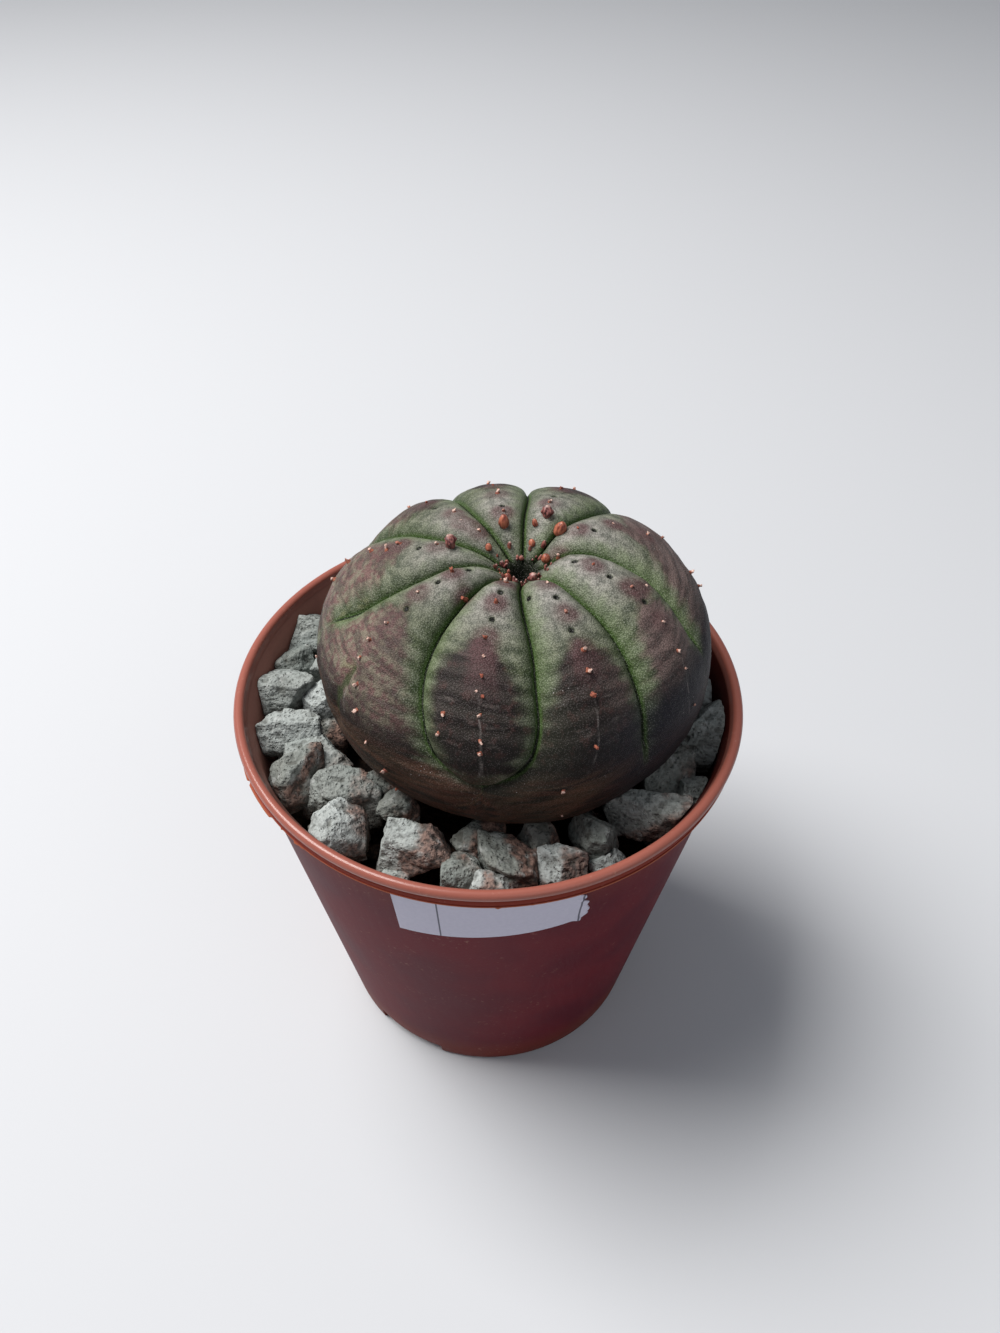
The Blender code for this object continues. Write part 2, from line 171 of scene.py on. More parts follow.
# %% [markdown]
# ## Materials from nodes
#
# A material in Blender is a web of nodes, and typing each node and link is long-winded.
# Here one class wraps a socket so that masks are written as sums, and another holds the
# few kinds of nodes that this object needs. A finish is then a first colour with coats
# laid on it through masks. Numbers that are the same all over a surface go straight onto
# the shader.


# %% Write shader maths as Python
class Wire:
    """The output socket of a node, which Python can reckon with."""

    def __init__(self, skin, socket):
        self.skin = skin
        self.socket = socket

    def __add__(self, other):
        return self.skin.math("ADD", self, other)

    def __sub__(self, other):
        return self.skin.math("SUBTRACT", self, other)

    def __rsub__(self, other):
        return self.skin.math("SUBTRACT", other, self)

    def __mul__(self, other):
        return self.skin.math("MULTIPLY", self, other)

    __radd__ = __add__
    __rmul__ = __mul__

    def fit(self, low, high, start=0.0, end=1.0):
        """Maps low..high to start..end along a smooth step, and holds it outside."""
        settings = {"interpolation_type": "SMOOTHSTEP"}
        inputs = {0: self, 1: low, 2: high, 3: start, 4: end}
        return self.skin.node("ShaderNodeMapRange", settings, inputs)


class Skin:
    """A material under construction: a Principled shader and the nodes that feed it."""

    def __init__(self, name, **constants):
        self.material = bpy.data.materials.new(name)
        self.material.use_nodes = True
        self.nodes = self.material.node_tree.nodes
        self.shader = self.nodes["Principled BSDF"]
        for socket, value in constants.items():
            self.shader.inputs[socket.replace("_", " ")].default_value = value

    def node(self, kind, settings, inputs, output=0):
        """Adds a node: its settings first, then a value or a link for each socket."""
        made = self.nodes.new(kind)
        for key, value in settings.items():
            setattr(made, key, value)
        for key, value in inputs.items():
            self.feed(made.inputs[key], value)
        return Wire(self, made.outputs[output])

    def feed(self, socket, value):
        """Links a wire to the socket, or puts a plain value on it."""
        if isinstance(value, Wire):
            self.material.node_tree.links.new(value.socket, socket)
        else:
            socket.default_value = value

    def set(self, socket, value):
        """Feeds one of the shader's own sockets."""
        self.feed(self.shader.inputs[socket], value)

    def math(self, operation, *values):
        """One sum on numbers, named as the Math node names it."""
        inputs = dict(enumerate(values))
        return self.node("ShaderNodeMath", {"operation": operation}, inputs)

    def place(self):
        """The place on the object in metres."""
        return self.node("ShaderNodeTexCoord", {}, {}, "Object")

    def axis(self, number):
        """How far along one axis that place is: 0 to the right, 1 back, 2 up."""
        return self.node("ShaderNodeSeparateXYZ", {}, {0: self.place()}, number)

    def pair(self, first, second):
        """A place made of two numbers, for noise that follows them."""
        return self.node("ShaderNodeCombineXYZ", {}, {0: first, 1: second})

    def mark(self, name):
        """A number that the mesh holds for each of its points."""
        return self.node("ShaderNodeAttribute", {"attribute_name": name}, {}, "Fac")

    def noise(self, size, detail=3.0, stretch=None, distortion=0.0, place=None):
        """Noise from 0 to 1 with bumps of about the given size in metres."""
        place = place or self.place()
        if stretch:
            inputs = {"Vector": place, "Scale": stretch}
            place = self.node("ShaderNodeMapping", {"vector_type": "POINT"}, inputs)
        inputs = {"Vector": place, "Scale": 1 / size, "Detail": detail, "Distortion": distortion}
        return self.node("ShaderNodeTexNoise", {}, inputs, "Fac")

    def cells(self, size):
        """Distance to the nearest of scattered points, about one size apart."""
        inputs = {"Vector": self.place(), "Scale": 1 / size}
        return self.node("ShaderNodeTexVoronoi", {"feature": "F1"}, inputs, "Distance")

    def blend(self, share, start, end):
        """A colour between start and end."""
        settings = {"data_type": "RGBA", "clamp_factor": True}
        return self.node("ShaderNodeMix", settings, {0: share, 6: start, 7: end}, 2)

    def lay(self, colour, *coats):
        """Lays coats of colour on a first one: each coat is its mask and its colour."""
        for mask, coat in coats:
            colour = self.blend(mask, colour, coat)
        return colour

    def bump(self, height, depth, below=None):
        """A normal that tells of bumps this deep in metres, on top of another normal."""
        inputs = {"Height": height, "Distance": depth, "Strength": 1.0}
        if below:
            inputs["Normal"] = below
        return self.node("ShaderNodeBump", {}, inputs)


SCREEN_GAMMA = 2.2


def shade(red, green, blue):
    """A colour with full alpha, from screen values of 0 to 255: each is divided by 255
    and raised to the screen's gamma."""
    return tuple((value / 255) ** SCREEN_GAMMA for value in (red, green, blue)) + (1.0,)


# %% [markdown]
# ## The pot
#
# A nursery pot is blown or pressed from thin terracotta-brown plastic: a plain cone with
# a narrow bead for a lip, a floor raised above a foot ring, notches in the ring and drain
# holes. A turned profile suits it, and a Boolean cuts the holes. Where the two halves
# of the mould met on the lip a thin ragged fin of plastic is left, which the formula
# adds with noise round the rim.

# %% Sizes of the pot, shared with the solid model
POT_HEIGHT = 50 * MM
RIM_RADIUS = 27.5 * MM
FOOT_RADIUS = 19.3 * MM
WALL_TOP_RADIUS = 26.3 * MM
WALL = 0.7 * MM
LIP_HEIGHT = 2.1 * MM
BEAD_WIDTH = 1.1 * MM
BAND_RADIUS = 27.1 * MM
FLOOR_UNDER = 1.5 * MM
FLOOR_TOP = 2.6 * MM
FOOT_WIDTH = 1.5 * MM
NOTCH_ANGLES = (238, 358, 118)
NOTCH_HALF = 13.5
DRAIN_HOLES = 6
DRAIN_RADIUS = 1.8 * MM
DRAIN_RING = 11.5 * MM


def wall_radius(height):
    """The outer wall's radius: a straight cone from the foot up to the lip."""
    share = height / (POT_HEIGHT - LIP_HEIGHT)
    return FOOT_RADIUS + (WALL_TOP_RADIUS - FOOT_RADIUS) * share


def along(corners, spacing):
    """Points along straight lines between profile corners, at most one spacing apart."""
    corners = np.array(corners)
    lengths = np.linalg.norm(np.diff(corners, axis=0), axis=1)
    parts = [
        start + (end - start) * np.arange(count)[:, None] / count
        for start, end, count in zip(corners, corners[1:], np.ceil(lengths / spacing).astype(int))
    ]
    return np.vstack(parts + [corners[-1:]])


# %% Turn the pot's profile
def arc(middle, radius, start, end, count):
    """Profile points on a circle: middle + radius * (cos, sin) from start to end."""
    turn = np.radians(np.linspace(start, end, count))
    return np.column_stack([middle[0] + radius * np.cos(turn), middle[1] + radius * np.sin(turn)])


def pot_profile():
    """Radius and height from the floor's middle, up inside, over the lip and down outside."""
    lip_base = POT_HEIGHT - LIP_HEIGHT
    half = BEAD_WIDTH / 2
    foot_inner = FOOT_RADIUS - FOOT_WIDTH
    inner = along([
        (0.5 * MM, FLOOR_TOP),
        (wall_radius(FLOOR_TOP) - WALL - 0.6 * MM, FLOOR_TOP),
        (wall_radius(FLOOR_TOP + 0.6 * MM) - WALL, FLOOR_TOP + 0.6 * MM),
        (WALL_TOP_RADIUS - WALL, lip_base),
    ], spacing=2.5 * MM)
    bead = arc((RIM_RADIUS - 0.1 * MM - half, POT_HEIGHT - half), half, 180, -62, 22)
    outer = along([
        (RIM_RADIUS - 0.5 * MM, POT_HEIGHT - 1.15 * MM),
        (BAND_RADIUS, POT_HEIGHT - 1.3 * MM),
        (BAND_RADIUS, lip_base + 0.25 * MM),
        (BAND_RADIUS - 0.2 * MM, lip_base + 0.05 * MM),
        (WALL_TOP_RADIUS + 0.1 * MM, lip_base),
        (WALL_TOP_RADIUS, lip_base - 0.15 * MM),
        (wall_radius(0.5 * MM), 0.5 * MM),
        (FOOT_RADIUS - 0.1 * MM, 0.12 * MM),
        (FOOT_RADIUS - 0.4 * MM, 0),
        (foot_inner, 0),
        (foot_inner - 0.3 * MM, FLOOR_UNDER),
        (0.5 * MM, FLOOR_UNDER),
    ], spacing=2.0 * MM)
    return np.vstack([inner, bead, outer])


profile = pot_profile()
edges = [
    angle + side * NOTCH_HALF + skip
    for angle in NOTCH_ANGLES for side in (-1, 1) for skip in (-0.05, 0.05)
]
angles = np.unique(np.concatenate([np.arange(0, 360, 1.0), np.mod(edges, 360)]))
turn = np.radians(angles)[None]
radius = np.repeat(profile[:, :1], len(angles), axis=1)
height = np.repeat(profile[:, 1:], len(angles), axis=1)
in_notch = np.zeros(len(angles), bool)
for middle in NOTCH_ANGLES:
    in_notch |= np.abs((angles - middle + 180) % 360 - 180) < NOTCH_HALF
height = np.where(in_notch[None], np.maximum(height, FLOOR_UNDER), height)

# %% Bend the rim a little, and make the pot
BEND = 0.06 * MM
ring = RIM_RADIUS * np.stack([np.cos(turn), np.sin(turn), 0 * turn], -1)
top = step(profile[:, 1], POT_HEIGHT - 6 * MM, POT_HEIGHT)[:, None]
radius -= top * BEND * (1 + noise(ring, 11 * MM, 8))
grid = np.stack([radius * np.cos(turn), radius * np.sin(turn), height], -1)[None]
pot = surface(
    "pot_shell", grid, crease=35,
    first=(0, 0, FLOOR_TOP), last=(0, 0, FLOOR_UNDER),
)

# %% Cut the drain holes
DRILL_TOP = 4 * MM
DRILL_END = 0.5 * MM
turn = np.radians(np.arange(0, 360, 15))[None]
level = np.array([[DRILL_TOP], [DRILL_END]])
drill = np.stack([
    DRAIN_RADIUS * np.cos(turn) + 0 * level, DRAIN_RADIUS * np.sin(turn) + 0 * level,
    level + 0 * turn,
], -1)
places = np.radians(np.arange(DRAIN_HOLES) * 360 / DRAIN_HOLES)
middles = DRAIN_RING * np.stack([np.cos(places), np.sin(places), 0 * places], -1)
drills = surface(
    "drills", drill[None] + middles[:, None, None],
    first=middles + (0, 0, DRILL_TOP), last=middles + (0, 0, DRILL_END),
)
cut = pot.modifiers.new("Drain holes", "BOOLEAN")
cut.object = drills
holed = bpy.data.meshes.new_from_object(pot.evaluated_get(bpy.context.evaluated_depsgraph_get()))
pot.modifiers.clear()
pot.data = holed
bpy.data.objects.remove(drills)
print("The pot is", round(pot.dimensions.x / MM, 1), "mm wide with", len(holed.polygons), "faces")

# %% [markdown]
# Where the two halves of the mould met, a thin ragged fin of plastic is left under the
# lip. It is torn off in places, so its reach is noise on noise, cut off at nothing. It
# is a ring of its own, because it needs far finer steps round the rim than the wall.

# %% Leave the fin of plastic under the lip
FIN_LEAST = 0.05 * MM
FIN_REACH = 0.2 * MM
FIN_DROOP = 0.15
# Radius and height from the lip's lower edge, in mm, and how far each point moves out
FIN = np.array([
    (-0.35, 0.14, 0.0), (0.0, 0.1, 0.0), (0.0, -0.05, 1.0), (-0.02, -0.09, 1.0),
    (-0.35, -0.06, 0.0),
])
turn = np.radians(np.arange(0, 360, 0.25))[None]
ring = RIM_RADIUS * np.stack([np.cos(turn), np.sin(turn), 0 * turn], -1)
left_on = step(noise(ring, 7 * MM, 6), -0.1, 0.5)
reach = FIN_LEAST + FIN_REACH * left_on * step(rough(ring, 1.6 * MM, 5, 5), -0.2, 0.2)
level = POT_HEIGHT - LIP_HEIGHT + 0.12 * MM
radius = BAND_RADIUS + FIN[:, :1] * MM + FIN[:, 2:] * reach
height = level + FIN[:, 1:2] * MM - FIN_DROOP * FIN[:, 2:] * reach
grid = np.stack([radius * np.cos(turn), radius * np.sin(turn), height], -1)[None]
thin = (FIN[:, 2:] + 0 * radius)[None]
flash = surface("lip_fin", grid, loop=True, marks={"thin": thin})
print("The fin stands out by", round(reach.max() / MM, 2), "mm at most")

# %% [markdown]
# The plastic is satin, not glossy: broad soft reflections with a very fine grain. Its
# brown turns paler and more orange at the lip and the fin. Towards the foot it is painted
# more orange, as a painted reflection. Inside, the left is painted paler, as light that
# gets through the wall, and the right darker, as a painted shadow of the plant. The
# groove under the bead is painted dark as its shade. The wall has faint upright flow
# lines and a little dust. Each of those is a band of heights or a noise, so masks on the
# place do it.

# %% Where the plastic changes colour
plastic = Skin("terracotta_plastic", Specular_IOR_Level=0.08, Coat_Roughness=0.22)
rightward, upward = plastic.axis(0), plastic.axis(2)
below_rim = POT_HEIGHT - upward
shoulder = below_rim.fit(9 * MM, 3 * MM)
band = below_rim.fit(2.3 * MM, 1.9 * MM)
bead = below_rim.fit(1.2 * MM, 0.9 * MM)
# Painted shade in the narrow groove between the bead and the band
bead_groove_shade = below_rim.fit(1.28 * MM, 1.16 * MM) * below_rim.fit(1.0 * MM, 1.12 * MM)
flat = {0: plastic.place(), 1: (1, 1, 0)}
flat = plastic.node("ShaderNodeVectorMath", {"operation": "MULTIPLY"}, flat)
away = plastic.node("ShaderNodeVectorMath", {"operation": "LENGTH"}, {0: flat}, "Value")
slope = (WALL_TOP_RADIUS - FOOT_RADIUS) / (POT_HEIGHT - LIP_HEIGHT)
inside = (upward * slope + FOOT_RADIUS - away).fit(0.3 * MM, 0.5 * MM)
dust = plastic.noise(0.5 * MM, 5).fit(0.6, 0.75) * plastic.noise(6 * MM, 2).fit(0.4, 0.7)

# %% Terracotta-brown plastic
cloudy = plastic.noise(9 * MM, 4)
wall = plastic.blend(cloudy.fit(0.35, 0.7), shade(84, 19, 33), shade(98, 29, 38))
# Painted light and shade inside: paler on the left, as light through the wall, and darker on the right, as
# the plant's shadow
inner = plastic.blend(rightward.fit(-12 * MM, 12 * MM), shade(168, 120, 108), shade(52, 22, 20))
plastic.set("Base Color", plastic.lay(
    wall,
    # Painted reflection: the wall turns more orange towards the foot
    (upward.fit(8 * MM, 1 * MM) * 0.6, shade(120, 56, 38)),
    (shoulder * 0.3, shade(124, 56, 46)),
    (band, shade(128, 54, 42)),
    (bead, shade(146, 86, 74)),
    (bead_groove_shade * 0.7, shade(74, 34, 26)),
    (inside * below_rim.fit(0.4 * MM, 1.4 * MM) * 0.85, inner),
    (dust * 0.3, shade(186, 150, 132)),
    (plastic.mark("thin") * 0.8, shade(188, 114, 84)),
))
plastic.set("Roughness", 0.42 + 0.14 * cloudy + 0.12 * dust)
plastic.set("Coat Weight", below_rim.fit(1.1 * MM, 0.7 * MM) * 0.7 - dust * 0.3)
flow = plastic.noise(1.5 * MM, 3, stretch=(1, 1, 0.06))
grain = plastic.bump(plastic.noise(0.25 * MM, 2), 0.012 * MM)
plastic.set("Normal", plastic.bump(flow, 0.05 * MM, grain))
for piece in (pot, flash):
    dress(piece, plastic.material, "pot")

# %% [markdown]
# ## The soil
#
# Damp potting soil shows only in the deep gaps between stones. It is dark and crumbly,
# so a disc with rough noise on top is enough, closed by the pot's cone below. The
# crumbs come from three octaves of noise.

# %% Fill the pot with soil
SOIL_TOP = 40.2 * MM
CLEARANCE = 0.3 * MM
low = FLOOR_TOP + CLEARANCE
side = WALL + CLEARANCE
soil_line = along([
    (0.4 * MM, SOIL_TOP),
    (wall_radius(SOIL_TOP) - side, SOIL_TOP),
    (wall_radius(low + 1.2 * MM) - side, low + 1.2 * MM),
    (wall_radius(low) - side - 1.0 * MM, low),
    (0.4 * MM, low),
], spacing=0.6 * MM)
turn = np.radians(np.arange(0, 360, 2.0))[None]
grid = np.stack([
    soil_line[:, :1] * np.cos(turn), soil_line[:, :1] * np.sin(turn),
    soil_line[:, 1:] + 0 * turn,
], -1)
loose = step(grid[..., 2], SOIL_TOP - 0.5 * MM, SOIL_TOP)
grid[..., 2] += loose * (0.5 * rough(grid, 2.4 * MM, 3, 3) - 0.5) * MM
soil = surface("soil_plug", grid[None], first=(0, 0, SOIL_TOP - 0.5 * MM), last=(0, 0, low))

earth = Skin("dark_soil", Roughness=0.95, Specular_IOR_Level=0.2)
crumbs = earth.noise(0.8 * MM, 6)
earth.set("Base Color", earth.blend(crumbs.fit(0.4, 0.7), shade(22, 17, 14), shade(58, 45, 36)))
earth.set("Normal", earth.bump(crumbs, 0.3 * MM))
dress(soil, earth.material, "soil")

# %% [markdown]
# ## The gravel
#
# Crushed rock has flat broken faces, blunt edges and pitted skin. Each stone here is a ball
# cut by random planes. Along a direction d, a plane with normal n at distance h is met
# at h / (n . d), and a soft minimum over all planes gives the surface, with edges that
# are slightly worn. Creases of three sizes, pits and a fine grain then roughen it. The
# solid model has the same planes, so every stone keeps its place.

# %% Where the stones lie
PLANT_X = 2.65 * MM
PLANT_Y = 1.4 * MM
BED_TOP = 42.6 * MM
GRAVEL_LEVEL = 44.6 * MM
STONE_FACETS = 13
STONE_SEED = 2131
# Angle, distance from the pot's axis, lift above the gravel level, width, depth, height
SEEN_STONES = (
    (151, 23.6, 0.9, 7.0, 5.6, 6.6), (163, 23.6, 0.6, 4.6, 4.8, 5.2), (174, 23.3, 1.2, 7.4, 5.8, 5.0),
    (161, 19.4, 0.6, 4.0, 4.4, 5.0), (177, 18.8, 0.9, 4.2, 5.2, 5.2), (189, 22.4, 0.7, 8.0, 5.0, 5.0),
    (200, 19.4, 0.3, 7.2, 4.2, 4.2), (206, 22.6, 0.5, 5.8, 6.0, 5.6), (216, 18.9, 0.2, 8.4, 5.6, 5.8),
    (228, 22.4, 0.3, 5.2, 5.6, 5.8), (247, 19.7, 0.2, 8.4, 5.6, 6.8), (222, 14.8, 0, 4.4, 4.4, 4.4),
    (235, 16.2, 0, 4.4, 4.0, 4.2), (266, 17.4, 0, 5.6, 3.8, 4.2), (276, 20.2, 0, 6.4, 5.0, 4.8),
    (263, 21.2, -0.1, 4.0, 4.2, 4.8), (270, 23.0, -0.5, 5.6, 3.4, 3.6), (286, 18.0, 0, 4.6, 4.2, 4.4),
    (290, 21.6, 0.1, 5.2, 4.2, 5.4), (301, 20.3, 0.2, 4.8, 4.6, 5.8), (300, 23.4, -0.2, 3.8, 3.0, 3.2),
    (318, 21.4, 0.4, 8.8, 6.0, 6.4), (333, 21.0, 0.4, 5.6, 6.2, 6.4), (330, 24.0, 0.4, 4.2, 4.6, 5.0),
    (348, 22.8, 0.8, 5.8, 6.8, 6.6), (3, 23.4, 0.8, 4.8, 4.8, 5.2), (15, 23.2, 0.6, 4.6, 5.4, 5.4),
)
# How pale and how brown each of those stones is, from 0 to 1
STONE_COLOURS = (
    (0.5, 0.1), (0.4, 0.0), (0.6, 0.1), (0.6, 0.0), (0.9, 0.0), (0.7, 0.0), (0.6, 0.3), (0.4, 0.5),
    (0.5, 0.3), (0.8, 0.5), (0.7, 1.0), (0.3, 0.7), (0.3, 0.8), (0.2, 1.0), (0.3, 0.7), (0.4, 0.3),
    (0.8, 0.5), (0.1, 1.0), (0.9, 0.8), (0.4, 0.2), (0.9, 0.1), (0.6, 0.5), (0.4, 0.2), (0.5, 0.1),
    (0.6, 0.1), (0.8, 0.0), (0.7, 0.1),
)
HIDDEN_RINGS = ((24, 142, 9, 22.6, 5.8), (24, 146, 6, 18.6, 5.0))
FILLER_RINGS = ((0, 360, 14, 22.2, 4.0), (8, 368, 9, 17.8, 4.0))


def ring_stones(random, rings, level):
    """Stones spaced round rings with a seeded scatter: centre and size of each."""
    for first, last, count, distance, size in rings:
        for number in range(count):
            share = (number + random.uniform(0.3, 0.7)) / count
            angle = math.radians(first + (last - first) * share)
            away = (distance + random.uniform(-0.6, 0.6)) * MM
            height = level + random.uniform(-0.5, 0.5) * MM
            sides = size * random.uniform(0.85, 1.15, 3) * MM
            yield (away * math.cos(angle), away * math.sin(angle), height), sides


# %% Ways to cut a stone
WORN_EDGES = 90
CREASES_MM = (1.9, 1.0, 0.55)
CREASE_DEPTH = 0.13
PIT_DEPTH_MM = 0.2
GRAIN_MM = 0.06


def ball(rows, columns):
    """Directions over a ball: [row, column], rows from near the top pole to near the bottom."""
    lean = np.linspace(0, np.pi, rows + 2)[1:-1, None]
    turn = np.linspace(0, 2 * np.pi, columns, endpoint=False)[None]
    flat = np.sin(lean)
    return np.stack([flat * np.cos(turn), flat * np.sin(turn), np.cos(lean) + 0 * turn], -1)


def stone(random, centre, size, directions):
    """One stone's points and how far its skin stands out or in there, in mm.

    Along direction d the surface lies at (sum of (n . d / h) ** w) ** (-1 / w), stretched
    to the stone's size, where w is larger for less worn edges. Creases come from minus
    the size of a noise, which makes sharp ridges, and pits from the peaks of a finer one.
    """
    normals = random.normal(size=(STONE_FACETS, 3))
    normals = np.vstack([normals, np.eye(3), -np.eye(3)])
    normals /= np.linalg.norm(normals, axis=1)[:, None]
    reach = random.uniform(0.66, 1.0, len(normals))
    reach[-6:] = 1.0
    # The solid model draws a turn for its own ball here, so the next draws stay in step
    random.uniform(0, math.tau)
    facing = np.maximum(directions @ normals.T, 0) / reach
    length = (facing**WORN_EDGES).sum(axis=-1) ** (-1 / WORN_EDGES)
    points = np.array(centre) + directions * length[..., None] * np.array(size) / 2
    creased = sum(
        np.abs(noise(points, cell * MM, 40 + n)) * cell * CREASE_DEPTH
        for n, cell in enumerate(CREASES_MM)
    )
    pitted = step(noise(points, 0.75 * MM, 50), 0.25, 0.7)
    grain = GRAIN_MM * noise(points, 0.4 * MM, 51)
    bumps = 0.2 - creased - PIT_DEPTH_MM * pitted + grain
    return points + directions * (bumps * MM)[..., None], bumps


def keep_clear(points):
    """Pulls in points that stray into the pot's wall."""
    far = np.hypot(points[..., 0], points[..., 1])
    limit = wall_radius(points[..., 2]) - WALL - 0.15 * MM
    points[..., :2] *= np.minimum(1, limit / far)[..., None]
    return points


# %% Cut the stones
random = np.random.default_rng(STONE_SEED)
fine, plain = ball(54, 98), ball(20, 36)
seen = []
for angle, distance, lift, *size in SEEN_STONES:
    turn = math.radians(angle)
    out = distance * MM
    centre = (out * math.cos(turn), out * math.sin(turn), GRAVEL_LEVEL + lift * MM)
    seen.append(stone(random, centre, [side * MM for side in size], fine))
behind, filler = (
    [stone(random, centre, size, plain) for centre, size in ring_stones(random, rings, level)]
    for rings, level in ((HIDDEN_RINGS, GRAVEL_LEVEL), (FILLER_RINGS, BED_TOP))
)
print(len(seen), "stones that show,", len(behind), "behind the plant and", len(filler), "below")


# %% Join the stones into pieces
STONES_ON_THE_LEFT = 13


def gravel_piece(name, stones, colours):
    """Joins stones into one object, each as pale as given, and brown on its lower right."""
    grids = keep_clear(np.array([points for points, _ in stones]))
    pale, brown = (np.array(colours)[:, n, None, None] + 0 * grids[..., 0] for n in (0, 1))
    middles = grids.mean(axis=(1, 2), keepdims=True)
    from_middle = (grids - middles) / MM
    brown *= step(from_middle @ (0.8, 0, -0.6) + 1.3 * noise(grids, 2 * MM, 52), -2.2, 0.8)
    return surface(
        name, grids, first=grids[:, 0].mean(axis=1), last=grids[:, -1].mean(axis=1),
        marks={
            "pale": pale, "brown": brown, "lift": from_middle[..., 2],
            "bumps": np.array([bumps for _, bumps in stones]),
        },
    )


colouring = np.random.default_rng(4)
gravel = [
    gravel_piece("gravel_left", seen[:STONES_ON_THE_LEFT], STONE_COLOURS[:STONES_ON_THE_LEFT]),
    gravel_piece("gravel_right", seen[STONES_ON_THE_LEFT:], STONE_COLOURS[STONES_ON_THE_LEFT:]),
    gravel_piece("gravel_back", behind, colouring.uniform(0, 1, (len(behind), 2)) * (1, 0.5)),
    gravel_piece("gravel_under", filler, colouring.uniform(0, 1, (len(filler), 2)) * (0.7, 1)),
]

# %% [markdown]
# The rock is pale grey with a green cast, dusty white in places, and stained brown or
# pink on some broken faces. Painted shade lies low on each stone, and creases and pits
# hold painted shadow. The mesh carries how low and how hollow each point is, so the
# colour darkens in the same places, and the bump adds grains that are too fine for the mesh.

# %% Pale crushed rock
rock = Skin("pale_stone", Roughness=0.92, Specular_IOR_Level=0.2)
pale, brown, bumps = rock.mark("pale"), rock.mark("brown"), rock.mark("bumps")
grains = rock.noise(0.5 * MM, 6)
pits = rock.cells(0.42 * MM)
patches = rock.noise(3.2 * MM, 3, distortion=0.4)
stain = (patches + brown * 0.5).fit(0.52, 0.8) * brown.fit(0.0, 0.3)
rust = rock.blend(grains.fit(0.4, 0.65), shade(74, 48, 42), shade(134, 104, 92))
rock.set("Base Color", rock.lay(
    rock.blend(rock.noise(6 * MM, 2), shade(115, 126, 123), shade(131, 130, 123)),
    (pale.fit(0.5, 0.0) * 0.5, shade(98, 94, 88)),
    (pale.fit(0.3, 1.0) * 0.8, shade(186, 192, 190)),
    (stain * 0.85, rust),
    # Painted shade on the lower part of each stone
    (rock.mark("lift").fit(0.6, -1.8) * 0.55, shade(82, 72, 64)),
    (grains.fit(0.5, 0.34) * 0.5, shade(78, 80, 76)),
    (bumps.fit(0.05, -0.25) * 0.65, shade(70, 68, 62)),
    (rock.noise(1.3 * MM, 6).fit(0.55, 0.72) * 0.4, shade(196, 199, 196)),
    (rock.noise(0.3 * MM, 3).fit(0.68, 0.76) * 0.45, shade(60, 58, 54)),
))
rock.set("Normal", rock.bump(pits.fit(0.05, 0.4), 0.14 * MM, rock.bump(grains, 0.4 * MM)))
for piece in gravel:
    dress(piece, rock.material, "gravel")

# %% [markdown]
# ## The plant's body
#
# The body is a flattened ball with nine ribs. Its outline is a superellipse turned
# round an axis: radius = a * sin(tilt) ** e and height = b * cos(tilt) ** e. Each
# groove has its own path, depth and end, measured in the photograph; the two grooves in
# front meet in a U. Between two grooves the skin swells into a round rib, less so where
# the rib is narrow, so the ribs plunge into a dark hole at the crown.

# %% Sizes of the plant, shared with the solid model
WAIST_Z = 54.6 * MM
WAIST_RADIUS = 20.6 * MM
CROWN_RISE = 12.4 * MM
UNDER_DROP = 14.0 * MM
BOXINESS = 0.86
DIMPLE_DEPTH = 3.0 * MM
DIMPLE_RADIUS = 3.6 * MM
CROWN_SHIFT = (0.8 * MM, 0.6 * MM)
HOLE_DEPTH = 2.8 * MM
HOLE_RADIUS = 1.1 * MM
FULL_HALF_WIDTH = 2.3 * MM
# Each groove's depth, the tilts where it starts to fade and ends, and its path: the turn
# round the axis, in degrees, at each of the path tilts
PATH_TILTS = (10, 30, 50, 70, 80, 85, 87, 88.4, 89.3, 92, 104)
GROOVES = (
    (1.9 * MM, 88, 91.5, (226, 228.5, 233.5, 241, 245.5, 249.2, 252.0, 255.2, 260.2, 259.5, 250)),
    (1.8 * MM, 88, 91.5, (265, 273, 275, 275, 272.5, 269.5, 267.0, 264.4, 260.8, 261.5, 270)),
    (1.7 * MM, 78, 98, (309, 312, 311, 309, 308.5, 308, 308, 308, 308, 308, 308)),
    (1.4 * MM, 58, 76, (366, 355, 345, 339.5, 338, 338, 338, 338, 338, 338, 338)),
    (1.3 * MM, 68, 84, (407, 407, 409, 412, 412, 412, 412, 412, 412, 412, 412)),
    (1.3 * MM, 72, 88, (448, 445, 445, 445, 445, 445, 445, 445, 445, 445, 445)),
    (1.3 * MM, 72, 88, (490, 481, 476, 474, 474, 474, 474, 474, 474, 474, 474)),
    (1.3 * MM, 68, 84, (528, 516, 512, 509, 509, 509, 509, 509, 509, 509, 509)),
    (1.6 * MM, 54, 72, (553, 554, 553, 549, 547, 547, 547, 547, 547, 547, 547)),
)
RIBS = len(GROOVES)


def smooth_path(tilt, tilts, turns):
    """A smooth curve through (tilt, turn) points: between two of them a cubic, which has
    the same slope at each point as its neighbour."""
    tilts, turns = np.array(tilts, float), np.array(turns, float)
    slopes = np.gradient(turns, tilts)
    n = np.clip(np.searchsorted(tilts, tilt, side="right") - 1, 0, len(tilts) - 2)
    width = np.diff(tilts)[n]
    u = np.clip((tilt - tilts[n]) / width, 0, 1)
    line = turns[n] * (1 - step(u, 0, 1)) + turns[n + 1] * step(u, 0, 1)
    return line + u * (1 - u) * ((1 - u) * slopes[n] - u * slopes[n + 1]) * width


